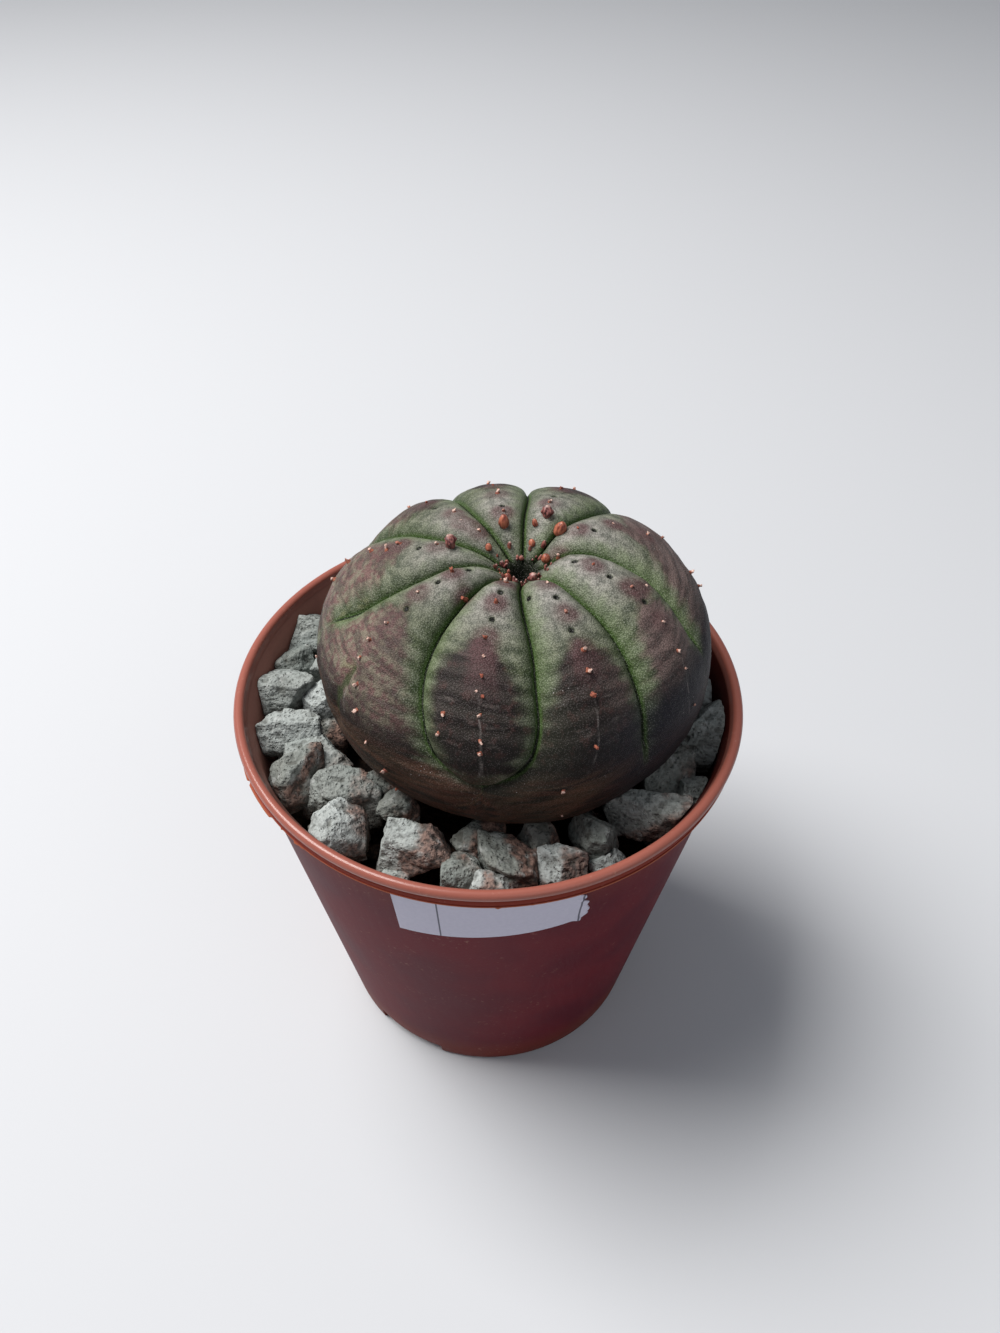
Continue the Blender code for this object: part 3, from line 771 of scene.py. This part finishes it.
def body(tilt, across):
    """Points on the skin, and what the finer detail needs to know about them.

    tilt is in degrees from the axis. across counts ribs: whole numbers are grooves.
    A rib sinks by depth * (1 - full * (1 - 0.7 * |s| ** 2.3 - 0.3 * |s| ** 8)), where full
    falls to 0 with the rib's width. Returns the points, the way out of the skin, s
    from -1 to 1 across the rib, the distance to the nearest groove and its depth.
    """
    tilt, across = np.broadcast_arrays(np.asarray(tilt, float), np.asarray(across, float))
    paths = np.array([smooth_path(tilt, PATH_TILTS, path) for *_, path in GROOVES])
    paths = np.concatenate([paths, paths[:1] + 360])
    fade = step(tilt, 0, 5) * (1 - 0.3 * step(tilt, 50, 75))
    depths = np.array([
        depth * fade * (1 - step(tilt, start, end)) for depth, start, end, _ in GROOVES
    ])
    depths = np.concatenate([depths, depths[:1]])
    number = np.floor(across).astype(int)[None]
    share = across - number[0]
    left, right = (np.take_along_axis(paths, number + n, 0)[0] for n in (0, 1))
    deeps = [np.take_along_axis(depths, number + n, 0)[0] for n in (0, 1)]
    deep = np.where(share < 0.5, *deeps)
    turn = np.radians((1 - share) * left + share * right)
    lean = np.radians(tilt)
    rise = np.sign(np.cos(lean)) * np.abs(np.cos(lean)) ** BOXINESS
    radius = WAIST_RADIUS * np.sin(lean) ** BOXINESS
    height = WAIST_Z + np.where(rise > 0, CROWN_RISE, UNDER_DROP) * rise
    dip = DIMPLE_DEPTH * np.exp(-((radius / DIMPLE_RADIUS) ** 2))
    dip += HOLE_DEPTH * np.exp(-((radius / HOLE_RADIUS) ** 4))
    height -= np.where(rise > 0, dip, 0)
    s = 2 * share - 1
    half_width = radius * np.radians(right - left) / 2
    full = np.minimum(half_width / FULL_HALF_WIDTH, 1)
    sink = deep * (1 - full * (1 - 0.7 * np.abs(s) ** 2.3 - 0.3 * np.abs(s) ** 8))
    out = np.stack([np.sin(lean) * np.cos(turn), np.sin(lean) * np.sin(turn), np.cos(lean)], -1)
    shift = np.maximum(rise, 0) ** 2
    base = np.stack([
        PLANT_X + CROWN_SHIFT[0] * shift + radius * np.cos(turn),
        PLANT_Y + CROWN_SHIFT[1] * shift + radius * np.sin(turn),
        height,
    ], -1)
    return base - out * sink[..., None], out, s, (1 - np.abs(s)) * half_width, deep


# %% Stubs, pits and buds, by ribs across and tilt
STUBS = (
    (0.56, 10.5), (0.56, 20), (0.54, 32), (0.54, 38), (0.56, 44.5), (0.53, 50), (0.58, 51.5), (0.56, 58),
    (0.54, 67.5), (0.54, 73), (0.26, 61), (0.20, 69), (1.62, 12.5), (1.56, 24.5), (1.52, 38), (1.50, 45),
    (1.48, 53.5), (1.46, 73), (1.46, 90), (1.32, 105), (2.56, 17), (3.10, 8), (2.54, 30), (2.76, 34),
    (2.54, 45), (2.54, 57), (2.56, 65), (2.64, 84), (3.60, 15), (3.62, 28), (3.54, 40.5), (3.62, 52.5),
    (3.40, 60.5), (3.40, 69.5), (4.58, 21), (4.60, 38), (4.50, 52), (4.50, 66), (5.50, 15), (5.48, 27.5),
    (5.48, 39), (5.50, 53), (5.50, 66), (6.38, 12.5), (6.48, 18), (6.36, 24), (6.40, 42), (6.45, 57),
    (7.36, 21), (7.32, 34), (7.42, 38.5), (7.34, 46.5), (7.36, 60.5), (7.50, 68), (8.36, 18.5), (8.40, 30),
    (8.48, 43.5), (8.46, 52), (8.48, 59), (8.56, 67.5), (8.60, 76.5), (8.60, 87), (8.64, 95.5), (8.74, 107.5),
    (8.08, 84), (8.96, 21),
)
# Where the pale seam runs on each rib, as a share of the way across
SEAM_ACROSS = (0.55, 0.49, 0.55, 0.55, 0.55, 0.50, 0.43, 0.36, 0.48)
PITS = (
    (0.58, 16), (0.56, 25.5), (1.58, 18.5), (1.50, 30.5), (2.54, 12), (2.52, 23), (2.54, 36.5), (3.50, 19.5),
    (4.60, 28), (5.46, 18.5), (6.45, 34), (7.42, 27), (8.38, 14), (8.42, 23.5), (8.50, 36), (1.14, 16),
)
# Ribs across, tilt, width, height and how dry
BUDS = (
    (5.60, 10.5, 1.10, 1.35, 0.0), (4.44, 14, 1.15, 1.25, 1.0), (3.94, 12, 1.30, 1.55, 0.0),
    (7.36, 17, 1.15, 1.30, 0.9), (4.64, 10.5, 0.62, 0.72, 0.2), (4.56, 6, 0.72, 0.70, 0.2),
    (3.36, 5, 0.95, 0.85, 0.1), (1.80, 3.5, 0.95, 0.90, 0.8), (8.80, 4, 0.85, 0.80, 0.2),
    (6.72, 8, 0.70, 0.70, 0.3), (5.68, 6, 0.50, 0.60, 0.8), (5.20, 3, 0.48, 0.50, 0.6),
    (6.56, 3.5, 0.40, 0.45, 0.5), (6.94, 4.5, 0.45, 0.60, 0.9), (4.08, 7, 0.50, 0.80, 0.6),
    (0.60, 4, 0.36, 0.45, 1.0),
)


def on_skin(table):
    """Points and outward directions for (across, tilt) pairs."""
    across, tilts = np.array(table).T
    points, out, *_ = body(tilts, across)
    return points, out


stub_places, stub_out = on_skin(STUBS)
pit_places, _ = on_skin(PITS)
bud_places, bud_out = on_skin([bud[:2] for bud in BUDS])
print(len(stub_places), "stubs,", len(pit_places), "pits and", len(bud_places), "buds")


# %% Measure the skin
def nearness(points, places, reach):
    """The sum over places of exp(-(distance / reach) ** 2)."""
    return sum(np.exp(-((points - place) ** 2).sum(-1) / reach**2) for place in places)


COLUMNS = 46
ROWS = 228
# More columns lie near the grooves, and more rows near the crown
CROWDING = 0.6
ROW_SHARES = (0, 0.17, 0.72, 1)
ROW_TILTS = (0.4, 20, 100, 179.4)
# The two front grooves turn sideways where they meet, so there the gap is measured from
# points along them
JOINT_TILTS = np.linspace(77, 89.3, 120)
JOINT_HALF_WIDTH = 0.12 * MM
STUB_REACH = 1.2 * MM
PIT_REACH = 0.28 * MM
spread = np.arange(COLUMNS) / COLUMNS
spread -= CROWDING * np.sin(2 * np.pi * spread) / (2 * np.pi)
across = (np.arange(RIBS)[:, None] + spread).reshape(1, -1)
tilt = np.interp(np.linspace(0, 1, ROWS), ROW_SHARES, ROW_TILTS)[:, None]
points, out, s, gap, deep = body(tilt, across)
whole = tilt + 0 * across
crests = body(tilt, np.arange(RIBS)[None] + 0.5)[0]
travel = np.linalg.norm(np.diff(crests, axis=0, prepend=crests[:1]), axis=-1)
travel = np.repeat(np.cumsum(travel, axis=0), COLUMNS, axis=1)
joint = np.vstack([body(JOINT_TILTS, groove)[0] for groove in (0, 1)])
off_joint = np.min([np.linalg.norm(points - place, axis=-1) for place in joint], axis=0)
gap = np.minimum(gap, np.maximum(off_joint - JOINT_HALF_WIDTH, 0))
in_joint = step(off_joint, 0.9 * MM, 0.3 * MM)
grooved = np.maximum(step(deep, 0.05 * MM, 0.7 * MM), 0.9 * in_joint)
halo = nearness(points, stub_places, STUB_REACH)
pit = nearness(points, pit_places, PIT_REACH)

# %% Fold the skin on the left
# Ribs across and tilt, down the fold and at the old scars
FOLD = ((8.47, 64), (8.45, 71), (8.42, 77), (8.40, 83), (8.34, 90), (8.27, 97))
SCARS = ((8.46, 65), (8.40, 67), (7.97, 50), (7.97, 56), (7.99, 62))
FOLD_REACH = 0.55 * MM
SCAR_REACH = 0.8 * MM
fold_across, fold_tilt = np.array(FOLD).T
fold_steps = np.linspace(0, len(FOLD) - 1, 26)
fold_across, fold_tilt = (
    np.interp(fold_steps, range(len(FOLD)), values) for values in (fold_across, fold_tilt)
)
fold_places = body(fold_tilt, fold_across)[0]
fold = np.minimum(nearness(points, fold_places, FOLD_REACH) / 2, 1)
scar_places, _ = on_skin(SCARS)
fresh = np.minimum(nearness(points, scar_places, SCAR_REACH), 1)
seam_line = np.repeat(SEAM_ACROSS, COLUMNS)[None]
off_seam = (across % 1 - seam_line) * 2 * gap / np.maximum(1 - np.abs(s), 0.02)

# %% Swell and roughen the skin, and make it
BAND_SPACING = 2.0 * MM
bands = travel / BAND_SPACING - 0.5 * s * s + 0.4 * noise(points, 5 * MM, 21)
swell = 0.10 * halo - 0.45 * pit - 0.45 * fold
swell -= 0.25 * grooved * np.exp(-((gap / (0.3 * MM)) ** 2))
swell += 0.018 * np.sin(2 * np.pi * bands) * step(whole, 20, 40)
for depth, cell, seed in ((0.18, 7, 22), (0.06, 2.2, 23), (0.03, 0.8, 24)):
    swell += depth * noise(points, cell * MM, seed)
points = points + out * (swell * MM)[..., None]
marks = {
    "side": np.abs(s), "tilt": whole, "along": travel / MM, "across": across + 0 * tilt,
    "gap": gap / MM, "grooved": grooved, "off_seam": off_seam / MM, "halo": halo, "pit": pit,
    "fold": fold, "fresh": fresh,
}
ends = [points[row].mean(axis=0) for row in (0, -1)]
skin_piece = surface(
    "plant_body", points[None], first=ends[0], last=ends[1],
    marks={mark: value[None] for mark, value in marks.items()},
)

# %% [markdown]
# The skin is grey-green at the crown and turns purple-brown on the crests and lower
# down, where the sun tans it, and bronze underneath. The grooves stay fresh green with
# paler margins. Bands run across the ribs, each stub near the crown sits in a reddish
# halo, and a pale seam runs down each crest. All of that follows the ribs, so the mesh
# carries the distances as marks, and the material turns them into masks. Light and shade
# are painted on as well: the left half of each rib lighter and the right half darker,
# dark creases in the grooves, a dark crown hole, a darker lower body, and the lower
# right darkened with a bluish painted reflection. Fine pebbles cover the whole skin.

# %% Patterns that follow the ribs
waxy = Skin("plant_skin", Specular_IOR_Level=0.16)
tilted, side, gap_mm, grooved_mark, along_mm, rib_number = (
    waxy.mark(name) for name in ("tilt", "side", "gap", "grooved", "along", "across")
)
to_right = waxy.axis(0)
blotch = waxy.noise(2.6 * MM, 4)
mottle = waxy.noise(0.8 * MM, 5)
pebble = waxy.cells(0.15 * MM)
stripes = waxy.noise(1, 5, place=waxy.pair(along_mm * 1.3, rib_number * 4.0))
slants = waxy.pair(along_mm * 0.55 + rib_number * 4.2, rib_number * 0.9)
slants = waxy.noise(1, 2, place=slants)
wave = along_mm * (math.tau * MM / BAND_SPACING) - side * side * 3.1 + blotch * 4.0
pale_bands = (0.3 * waxy.math("SINE", wave) + stripes * 1.6 - 0.3).fit(0.2, 0.9)

# %% Where the skin is tanned
margin_mm = grooved_mark * (tilted.fit(18, 48, 6.5, 1.3) - tilted.fit(50, 80, 0.0, 0.7))
ragged_mm = blotch * 2.6 + stripes * 3.2 - pale_bands * 0.45 - 2.9
second_rib = rib_number.fit(0.99, 1.01) * rib_number.fit(1.45, 1.2) * tilted.fit(44, 60)
tan = (gap_mm + ragged_mm - margin_mm + second_rib * 1.2).fit(-0.8, 1.1)

# %% Grey-green skin
# The right half of each rib faces away from the light: painted shade darkens its green there, and the pale
# margin is painted lighter on the left half
shaded_right_half = waxy.math("FRACT", rib_number).fit(0.4, 0.7)
crown = waxy.blend(mottle.fit(0.35, 0.65), shade(119, 118, 112), shade(159, 155, 149))
flank = waxy.blend(mottle.fit(0.35, 0.65), shade(60, 68, 49), shade(88, 94, 71))
deep_green = waxy.blend(shaded_right_half, shade(72, 88, 52), shade(52, 66, 38))
sage = waxy.lay(
    waxy.blend(tilted.fit(14, 42), crown, flank),
    (pale_bands * side.fit(0.2, 0.7) * tilted.fit(14, 26) * 0.45, shade(142, 144, 126)),
    (grooved_mark * gap_mm.fit(2.0, 0.1) * 0.7, deep_green),
)

# %% Purple-brown tan
on_left = to_right.fit(-4 * MM, -12 * MM) * tilted.fit(86, 68)
on_right = to_right.fit(9 * MM, 15 * MM) * tilted.fit(76, 52)
faded = waxy.blend(mottle.fit(0.4, 0.6), shade(116, 88, 84), shade(128, 120, 104))
purple = waxy.lay(
    waxy.blend(tilted.fit(30, 64), shade(50, 40, 40), shade(31, 25, 25)),
    (stripes.fit(0.42, 0.58) * 0.8, shade(27, 19, 19)),
    (stripes.fit(0.45, 0.3) * tilted.fit(88, 66) * 0.5, shade(96, 88, 84)),
    (pale_bands * tilted.fit(84, 60) * 0.2, shade(98, 90, 84)),
    (mottle.fit(0.5, 0.7) * 0.35, shade(84, 54, 51)),
    # Painted shade darkens the lower body
    (tilted.fit(64, 82) * 0.5, shade(20, 14, 15)),
    (on_left * stripes.fit(0.36, 0.6, 0.3, 0.85), faded),
    (on_right * stripes.fit(0.36, 0.6, 0.25, 0.8), shade(118, 100, 96)),
)

# %% Bronze belly
bronze = waxy.lay(
    waxy.blend(stripes.fit(0.35, 0.65), shade(38, 31, 25), shade(82, 54, 44)),
    (slants.fit(0.45, 0.62) * 0.4, shade(104, 82, 64)),
)

# %% Marks on the skin
beside_groove = gap_mm.fit(2.6, 0.9) * gap_mm.fit(0.1, 0.5) * tilted.fit(84, 66)
# Paler margins beside the grooves, painted lighter still on the left half of each rib, which faces the light
pale_lit_margin = pale_bands.fit(0, 1, 0.5, 1) * grooved_mark * beside_groove
pale_lit_margin = pale_lit_margin * shaded_right_half.fit(0, 1, 0.34, 0.08) * (1 - 0.8 * second_rib)
# Painted shade on the lower right, with a bluish painted reflection in its colour
shaded_side = to_right.fit(8 * MM, 15 * MM) * tilted.fit(58, 74)
halo_mask = waxy.mark("halo").fit(0.0, 0.7) * tilted.fit(58, 34)
# A painted shade line along the bottom of each groove, widened lower down
crease_shade_mm = gap_mm - tilted.fit(50, 84) * 0.07
off_seam_mm = waxy.math("ABSOLUTE", waxy.mark("off_seam"))
seam = off_seam_mm.fit(0.16, 0.04) * tilted.fit(48, 62) * tilted.fit(92, 78)
# Painted shade in the hole at the crown
crown_hole_shade = tilted.fit(5.8, 2.0)
clusters = waxy.noise(3 * MM, 3).fit(0.54, 0.7)
salts = waxy.cells(0.42 * MM).fit(0.15, 0.07) * clusters * tilted.fit(25, 50)

# %% Waxy, tanned skin
waxy.set("Base Color", waxy.lay(
    waxy.blend(tan, sage, purple),
    (pale_lit_margin, shade(108, 124, 88)),
    (tilted.fit(80, 93) * (1 - grooved_mark * gap_mm.fit(1.6, 0.0)), bronze),
    (shaded_side * 0.8, shade(30, 29, 40)),
    (second_rib * 0.3, shade(56, 57, 47)),
    (halo_mask * blotch.fit(0.25, 0.6, 0.4, 0.85), shade(86, 60, 62)),
    (waxy.mark("fresh").fit(0.1, 1.0) * mottle.fit(0.35, 0.6) * 0.35, shade(138, 136, 98)),
    (grooved_mark * gap_mm.fit(0.5, 0.1), shade(70, 94, 46)),
    (grooved_mark * crease_shade_mm.fit(0.19, 0.05) * 0.92, shade(17, 24, 11)),
    (waxy.mark("fold").fit(0.55, 0.95) * 0.8, shade(56, 66, 38)),
    (seam * mottle.fit(0.35, 0.6) * 0.35, shade(140, 132, 128)),
    (waxy.mark("pit").fit(0.1, 0.4) * 0.6, shade(62, 76, 42)),
    (waxy.mark("pit").fit(0.2, 0.5), shade(10, 13, 6)),
    (crown_hole_shade * 0.95, shade(16, 20, 11)),
    (pebble.fit(0.42, 0.08) * tan.fit(0, 1, 0.3, 0.12), shade(186, 184, 176)),
    (pebble.fit(0.45, 0.7) * 0.38, shade(34, 38, 30)),
    (salts * 0.75, shade(190, 184, 182)),
))
waxy.set("Roughness", 0.46 + 0.15 * blotch)
waxy.set("Normal", waxy.bump(mottle, 0.12 * MM, waxy.bump(pebble, -0.06 * MM)))
dress(skin_piece, waxy.material, "plant")

# %% [markdown]
# ## Stubs and buds
#
# Old flower stalks leave dry stubs along the crests: a brown foot and a pale, torn tip.
# Near the crown there are egg-shaped buds, orange while fresh and brown and wrinkled when
# they dry. Both are small turned shapes that point out of the skin, so one helper turns a
# local shape to face outwards. Copies have few faces, because there are so many.


# %% Helpers that stand shapes on the skin
def stand(local, places, out):
    """Turns local shapes [copy, row, column] so that their +Z points out of the skin:
    place + x * u + y * v + z * out, where u and v are square to out."""
    flat = np.cross(out, (0.3, 0.2, 1.0))
    flat /= np.linalg.norm(flat, axis=-1)[:, None]
    other = np.cross(out, flat)
    axes = np.stack([flat, other, out], axis=1)
    return places[:, None, None] + np.einsum("crxi,cij->crxj", local, axes)


def turned(radii, heights, turn, lobes, phase, widths, tallness, lobing):
    """Small turned shapes: radius * (1 - lobing * (1 - |sin(lobes * turn / 2 + phase)|)) by
    height, where the sine's size makes sharp folds between round lobes."""
    phase, widths, tallness, lobing = (
        np.array(value)[:, None, None] for value in (phase, widths, tallness, lobing)
    )
    wave = 1 - lobing * (1 - np.abs(np.sin(lobes * turn[None, None] / 2 + phase)))
    radius = radii[None, :, None] * wave * widths
    height = heights[None, :, None] * tallness + 0 * radius
    return np.stack([radius * np.cos(turn), radius * np.sin(turn), height], -1)


# %% Dry stubs
luck = np.random.default_rng(77)
count = len(stub_places)
turn = np.radians(np.arange(0, 360, 24))
STUB_LOBES = 4
TEAR = 0.13 * MM
# Heights and radii down a stub, as shares of its height and width
STUB_HEIGHTS = np.array([0.55, 0.52, 0.4, 0.3, 0.16, 0.03, -0.2])
STUB_RADII = np.array([0.10, 0.22, 0.24, 0.22, 0.27, 0.36, 0.42])
widths = luck.uniform(0.52, 0.86, count) * MM
local = turned(
    STUB_RADII, STUB_HEIGHTS, turn, STUB_LOBES, luck.uniform(0, 6, count),
    widths, widths * luck.uniform(0.7, 1.3, count), luck.uniform(0.15, 0.4, count),
)
local[..., :2] += luck.normal(0, 0.3, (count, 1, 1, 2)) * np.maximum(local[..., 2:], 0)
grid = stand(local, stub_places, stub_out)
height = local[..., 2] / widths[:, None, None]
torn = step(height, 0.25, 0.5)
for way, seed in zip(np.eye(3), (31, 32, 33)):
    grid += way * (TEAR * torn * noise(grid, 0.16 * MM, seed))[..., None]
middle = np.mean(grid[:, 0], axis=1) - stub_out * 0.08 * MM
colouring = luck.uniform(0, 1, count)[:, None, None] + 0 * height
stubs = surface("flower_stubs", grid, first=middle, marks={"rise": height, "luck": colouring})

dry = Skin("dry_stalk", Roughness=0.75)
feet = dry.blend(dry.noise(0.2 * MM, 3).fit(0.35, 0.65), shade(104, 50, 40), shade(156, 92, 68))
tips = dry.blend(dry.mark("luck").fit(0.1, 0.35), shade(148, 80, 62), shade(212, 180, 166))
near_tip = dry.mark("rise").fit(0.22, 0.42) * dry.noise(0.15 * MM, 2).fit(0.3, 0.5)
dry.set("Base Color", dry.blend(near_tip, feet, tips))
dry.set("Normal", dry.bump(dry.noise(0.12 * MM, 3), 0.05 * MM))
dress(stubs, dry.material, "plant")

# %% Buds, and scraps of old ones round the hole
SCRAPS = 40
BUD_LOBES = 10
scraps = [
    (luck.uniform(0, RIBS), luck.uniform(2.6, 6.5), luck.uniform(0.2, 0.38))
    for _ in range(SCRAPS)
]
scrap_places, scrap_out = on_skin([scrap[:2] for scrap in scraps])
places = np.vstack([bud_places, scrap_places])
out = np.vstack([bud_out, scrap_out])
out += luck.normal(0, 0.15, out.shape)
out /= np.linalg.norm(out, axis=-1)[:, None]
widths = np.array([bud[2] for bud in BUDS] + [scrap[2] for scrap in scraps]) * MM / 2
scrap_heights = [scrap[2] * luck.uniform(0.8, 2.2) for scrap in scraps]
tallness = np.array([bud[3] for bud in BUDS] + scrap_heights) * MM * 0.62
dryness = np.array([bud[4] for bud in BUDS] + list(luck.uniform(0.3, 1, SCRAPS)))
turn = np.radians(np.arange(0, 360, 12))
lean = np.radians(np.linspace(8, 152, 18))
egg = np.sin(lean) * (1 - 0.14 * np.cos(lean))
local = turned(
    egg, np.cos(lean) + 0.75, turn, BUD_LOBES, luck.uniform(0, 6, len(widths)), widths,
    tallness, 0.12 + 0.25 * dryness,
)
grid = stand(local, places, out)
sideways = stand(local * (1, 1, 0), 0 * places, out)
rumple = (0.03 + 0.5 * dryness)[:, None, None] * noise(grid, 0.3 * MM, 34)
grid += sideways * rumple[..., None]
buds = surface(
    "flower_buds", grid, first=np.mean(grid[:, 0], axis=1) - out * 0.03 * MM,
    marks={
        "rise": np.cos(lean)[None, :, None] + 0 * local[..., 0],
        "dryness": dryness[:, None, None] + 0 * local[..., 0],
    },
)

bud_skin = Skin("bud_skin", Roughness=0.42)
dryness_mark, rise = bud_skin.mark("dryness"), bud_skin.mark("rise")
threads = bud_skin.noise(0.35 * MM, 2, stretch=(1, 1, 0.5))
dried = bud_skin.blend(threads.fit(0.35, 0.6), shade(70, 30, 34), shade(148, 94, 88))
papery = rise.fit(0.7, 1.0) * dryness_mark.fit(0.4, 0.9)
bud_skin.set("Base Color", bud_skin.lay(
    bud_skin.blend(threads.fit(0.35, 0.65), shade(112, 52, 42), shade(178, 106, 82)),
    (dryness_mark.fit(0.2, 0.75), dried),
    (papery * 0.7, shade(206, 176, 164)),
    (rise.fit(0.93, 1.0) * 0.6, shade(84, 44, 34)),
))
bud_skin.set("Normal", bud_skin.bump(threads, 0.04 * MM))
dress(buds, bud_skin.material, "plant")

# %% [markdown]
# ## The taproot
#
# Under the stones the body narrows to one thick root that holds it in the soil. Nobody
# sees it in the pot, but the solid model has it, and a turned cone is enough.

# %% Push the root into the soil
ROOT_TOP = 44.5 * MM
ROOT_END = 15.1 * MM
root_line = along([(6.9 * MM, ROOT_TOP), (1.2 * MM, ROOT_END + 0.2 * MM)], spacing=1 * MM)
turn = np.radians(np.arange(0, 360, 15))[None]
grid = np.stack([
    PLANT_X + root_line[:, :1] * np.cos(turn), PLANT_Y + root_line[:, :1] * np.sin(turn),
    root_line[:, 1:] + 0 * turn,
], -1)
root = surface(
    "taproot", grid[None],
    first=(PLANT_X, PLANT_Y, ROOT_TOP), last=(PLANT_X, PLANT_Y, ROOT_END),
)
bark = Skin("root_bark", Roughness=0.85)
bark.set("Base Color", bark.blend(bark.noise(1.2 * MM, 4), shade(120, 92, 62), shade(168, 138, 100)))
bark.set("Normal", bark.bump(bark.noise(0.6 * MM, 4, stretch=(1, 1, 3)), 0.15 * MM))
dress(root, bark.material, "plant")

# %% [markdown]
# ## The label
#
# A strip of white paper is stuck on the wall, tucked up under the lip. Its right end is
# torn, and two thin upright lines are ruled on it. The sheet is a grid on the cone, with
# its right edge moved by noise, and Solidify gives it the thickness of paper.

# %% Stick on the paper strip
LABEL_LEFT = 249.5
LABEL_RIGHT = 291.5
LABEL_LOW_LEFT = 39.2 * MM
LABEL_LOW_RIGHT = 41.3 * MM
LABEL_TALL = 8.2 * MM
LABEL_TOP = 47.2 * MM
# Where the two lines stand, as turns round the pot
RULED = (259.2, 289.6)
LINE_HALF = 0.12
PAPER_THICK = 0.12 * MM
STUCK_GAP = 0.25 * MM
CURL = 0.25 * MM
# How far up the torn end sticks out most, and how many degrees shorter its corners are
TORN_PEAK = 0.35
TORN_ABOVE = 2.2
TORN_BELOW = 1.6
share = np.linspace(0, 1, 90)[None]
up = np.linspace(1, 0, 44)[:, None]
low = LABEL_LOW_LEFT + (LABEL_LOW_RIGHT - LABEL_LOW_LEFT) * share
height = low + (np.minimum(low + LABEL_TALL, LABEL_TOP) - low) * up
torn = 0.5 * rough(np.stack([up * 8 * MM, 0 * up, 0 * up], -1), 0.9 * MM, 3, 61)
torn -= TORN_ABOVE * np.maximum(up - TORN_PEAK, 0) / (1 - TORN_PEAK)
torn -= TORN_BELOW * np.maximum(TORN_PEAK - up, 0) / TORN_PEAK
angle = LABEL_LEFT + (LABEL_RIGHT - LABEL_LEFT) * share + torn * share**14
radius = wall_radius(height) + STUCK_GAP + CURL * step(share, 0.93, 1.0)
turn = np.radians(angle)
grid = np.stack([radius * np.cos(turn), radius * np.sin(turn), height], -1)
label = surface("paper_label", grid[None], wrap=False, marks={"angle": angle[None]})
sheet = label.modifiers.new("Paper", "SOLIDIFY")
sheet.thickness = PAPER_THICK
sheet.offset = 1

paper = Skin("white_paper", Roughness=0.7)
fibres = paper.noise(0.4 * MM, 5)
# The white paper's lavender tint is a painted bluish reflection
blank_with_painted_reflection = paper.blend(fibres, shade(182, 179, 196), shade(198, 195, 210))
lines = sum(
    1 - paper.math("ABSOLUTE", paper.mark("angle") - ruled).fit(LINE_HALF, 2 * LINE_HALF)
    for ruled in RULED
)
paper.set("Base Color", paper.blend(lines * 0.85, blank_with_painted_reflection, shade(52, 52, 66)))
paper.set("Normal", paper.bump(fibres, 0.02 * MM))
dress(label, paper.material, "label")

# %% [markdown]
# ## Floor and light
#
# The object stands on a plain pale floor, lit like the photograph: a wide soft sky from
# above and behind on the left, and a weaker fill in front, so that the stones throw soft
# dark gaps and the pot's front is darker than its lip.

# %% Lay the floor
FLOOR_HALF = 4.0
grid = FLOOR_HALF * np.array([[[1, 1, 0], [-1, 1, 0]], [[1, -1, 0], [-1, -1, 0]]])
floor = surface("floor", grid[None], wrap=False)
plain_floor = Skin("pale_floor", Roughness=0.8)
plain_floor.set("Base Color", shade(194, 196, 199))
floor.data.materials.append(plain_floor.material)


# %% Hang the lights
LIT_POINT = Vector((0, 0, 45 * MM))
ROOM_COLOUR = (0.86, 0.9, 1.0, 1)
ROOM_STRENGTH = 0.23


def soft_light(name, place, size, power, colour):
    """A square area light that looks at the plant, with its size in metres and its power
    in watts."""
    light = bpy.data.lights.new(name, "AREA")
    light.size = size
    light.energy = power
    light.color = colour
    made = bpy.data.objects.new(name, light)
    made.location = place
    aim = LIT_POINT - Vector(place)
    made.rotation_euler = aim.to_track_quat("-Z", "Y").to_euler()
    bpy.context.scene.collection.objects.link(made)


soft_light("key", (-0.32, 0.1, 0.63), size=0.4, power=7.6, colour=(1.0, 0.98, 0.96))
soft_light("fill", (0.35, -0.5, 0.5), size=0.6, power=0.7, colour=(0.92, 0.96, 1.0))
world = bpy.data.worlds.new("soft_room")
bpy.context.scene.world = world
world.use_nodes = True
background = world.node_tree.nodes["Background"]
background.inputs["Color"].default_value = ROOM_COLOUR
background.inputs["Strength"].default_value = ROOM_STRENGTH
bpy.context.scene.view_settings.view_transform = "Standard"
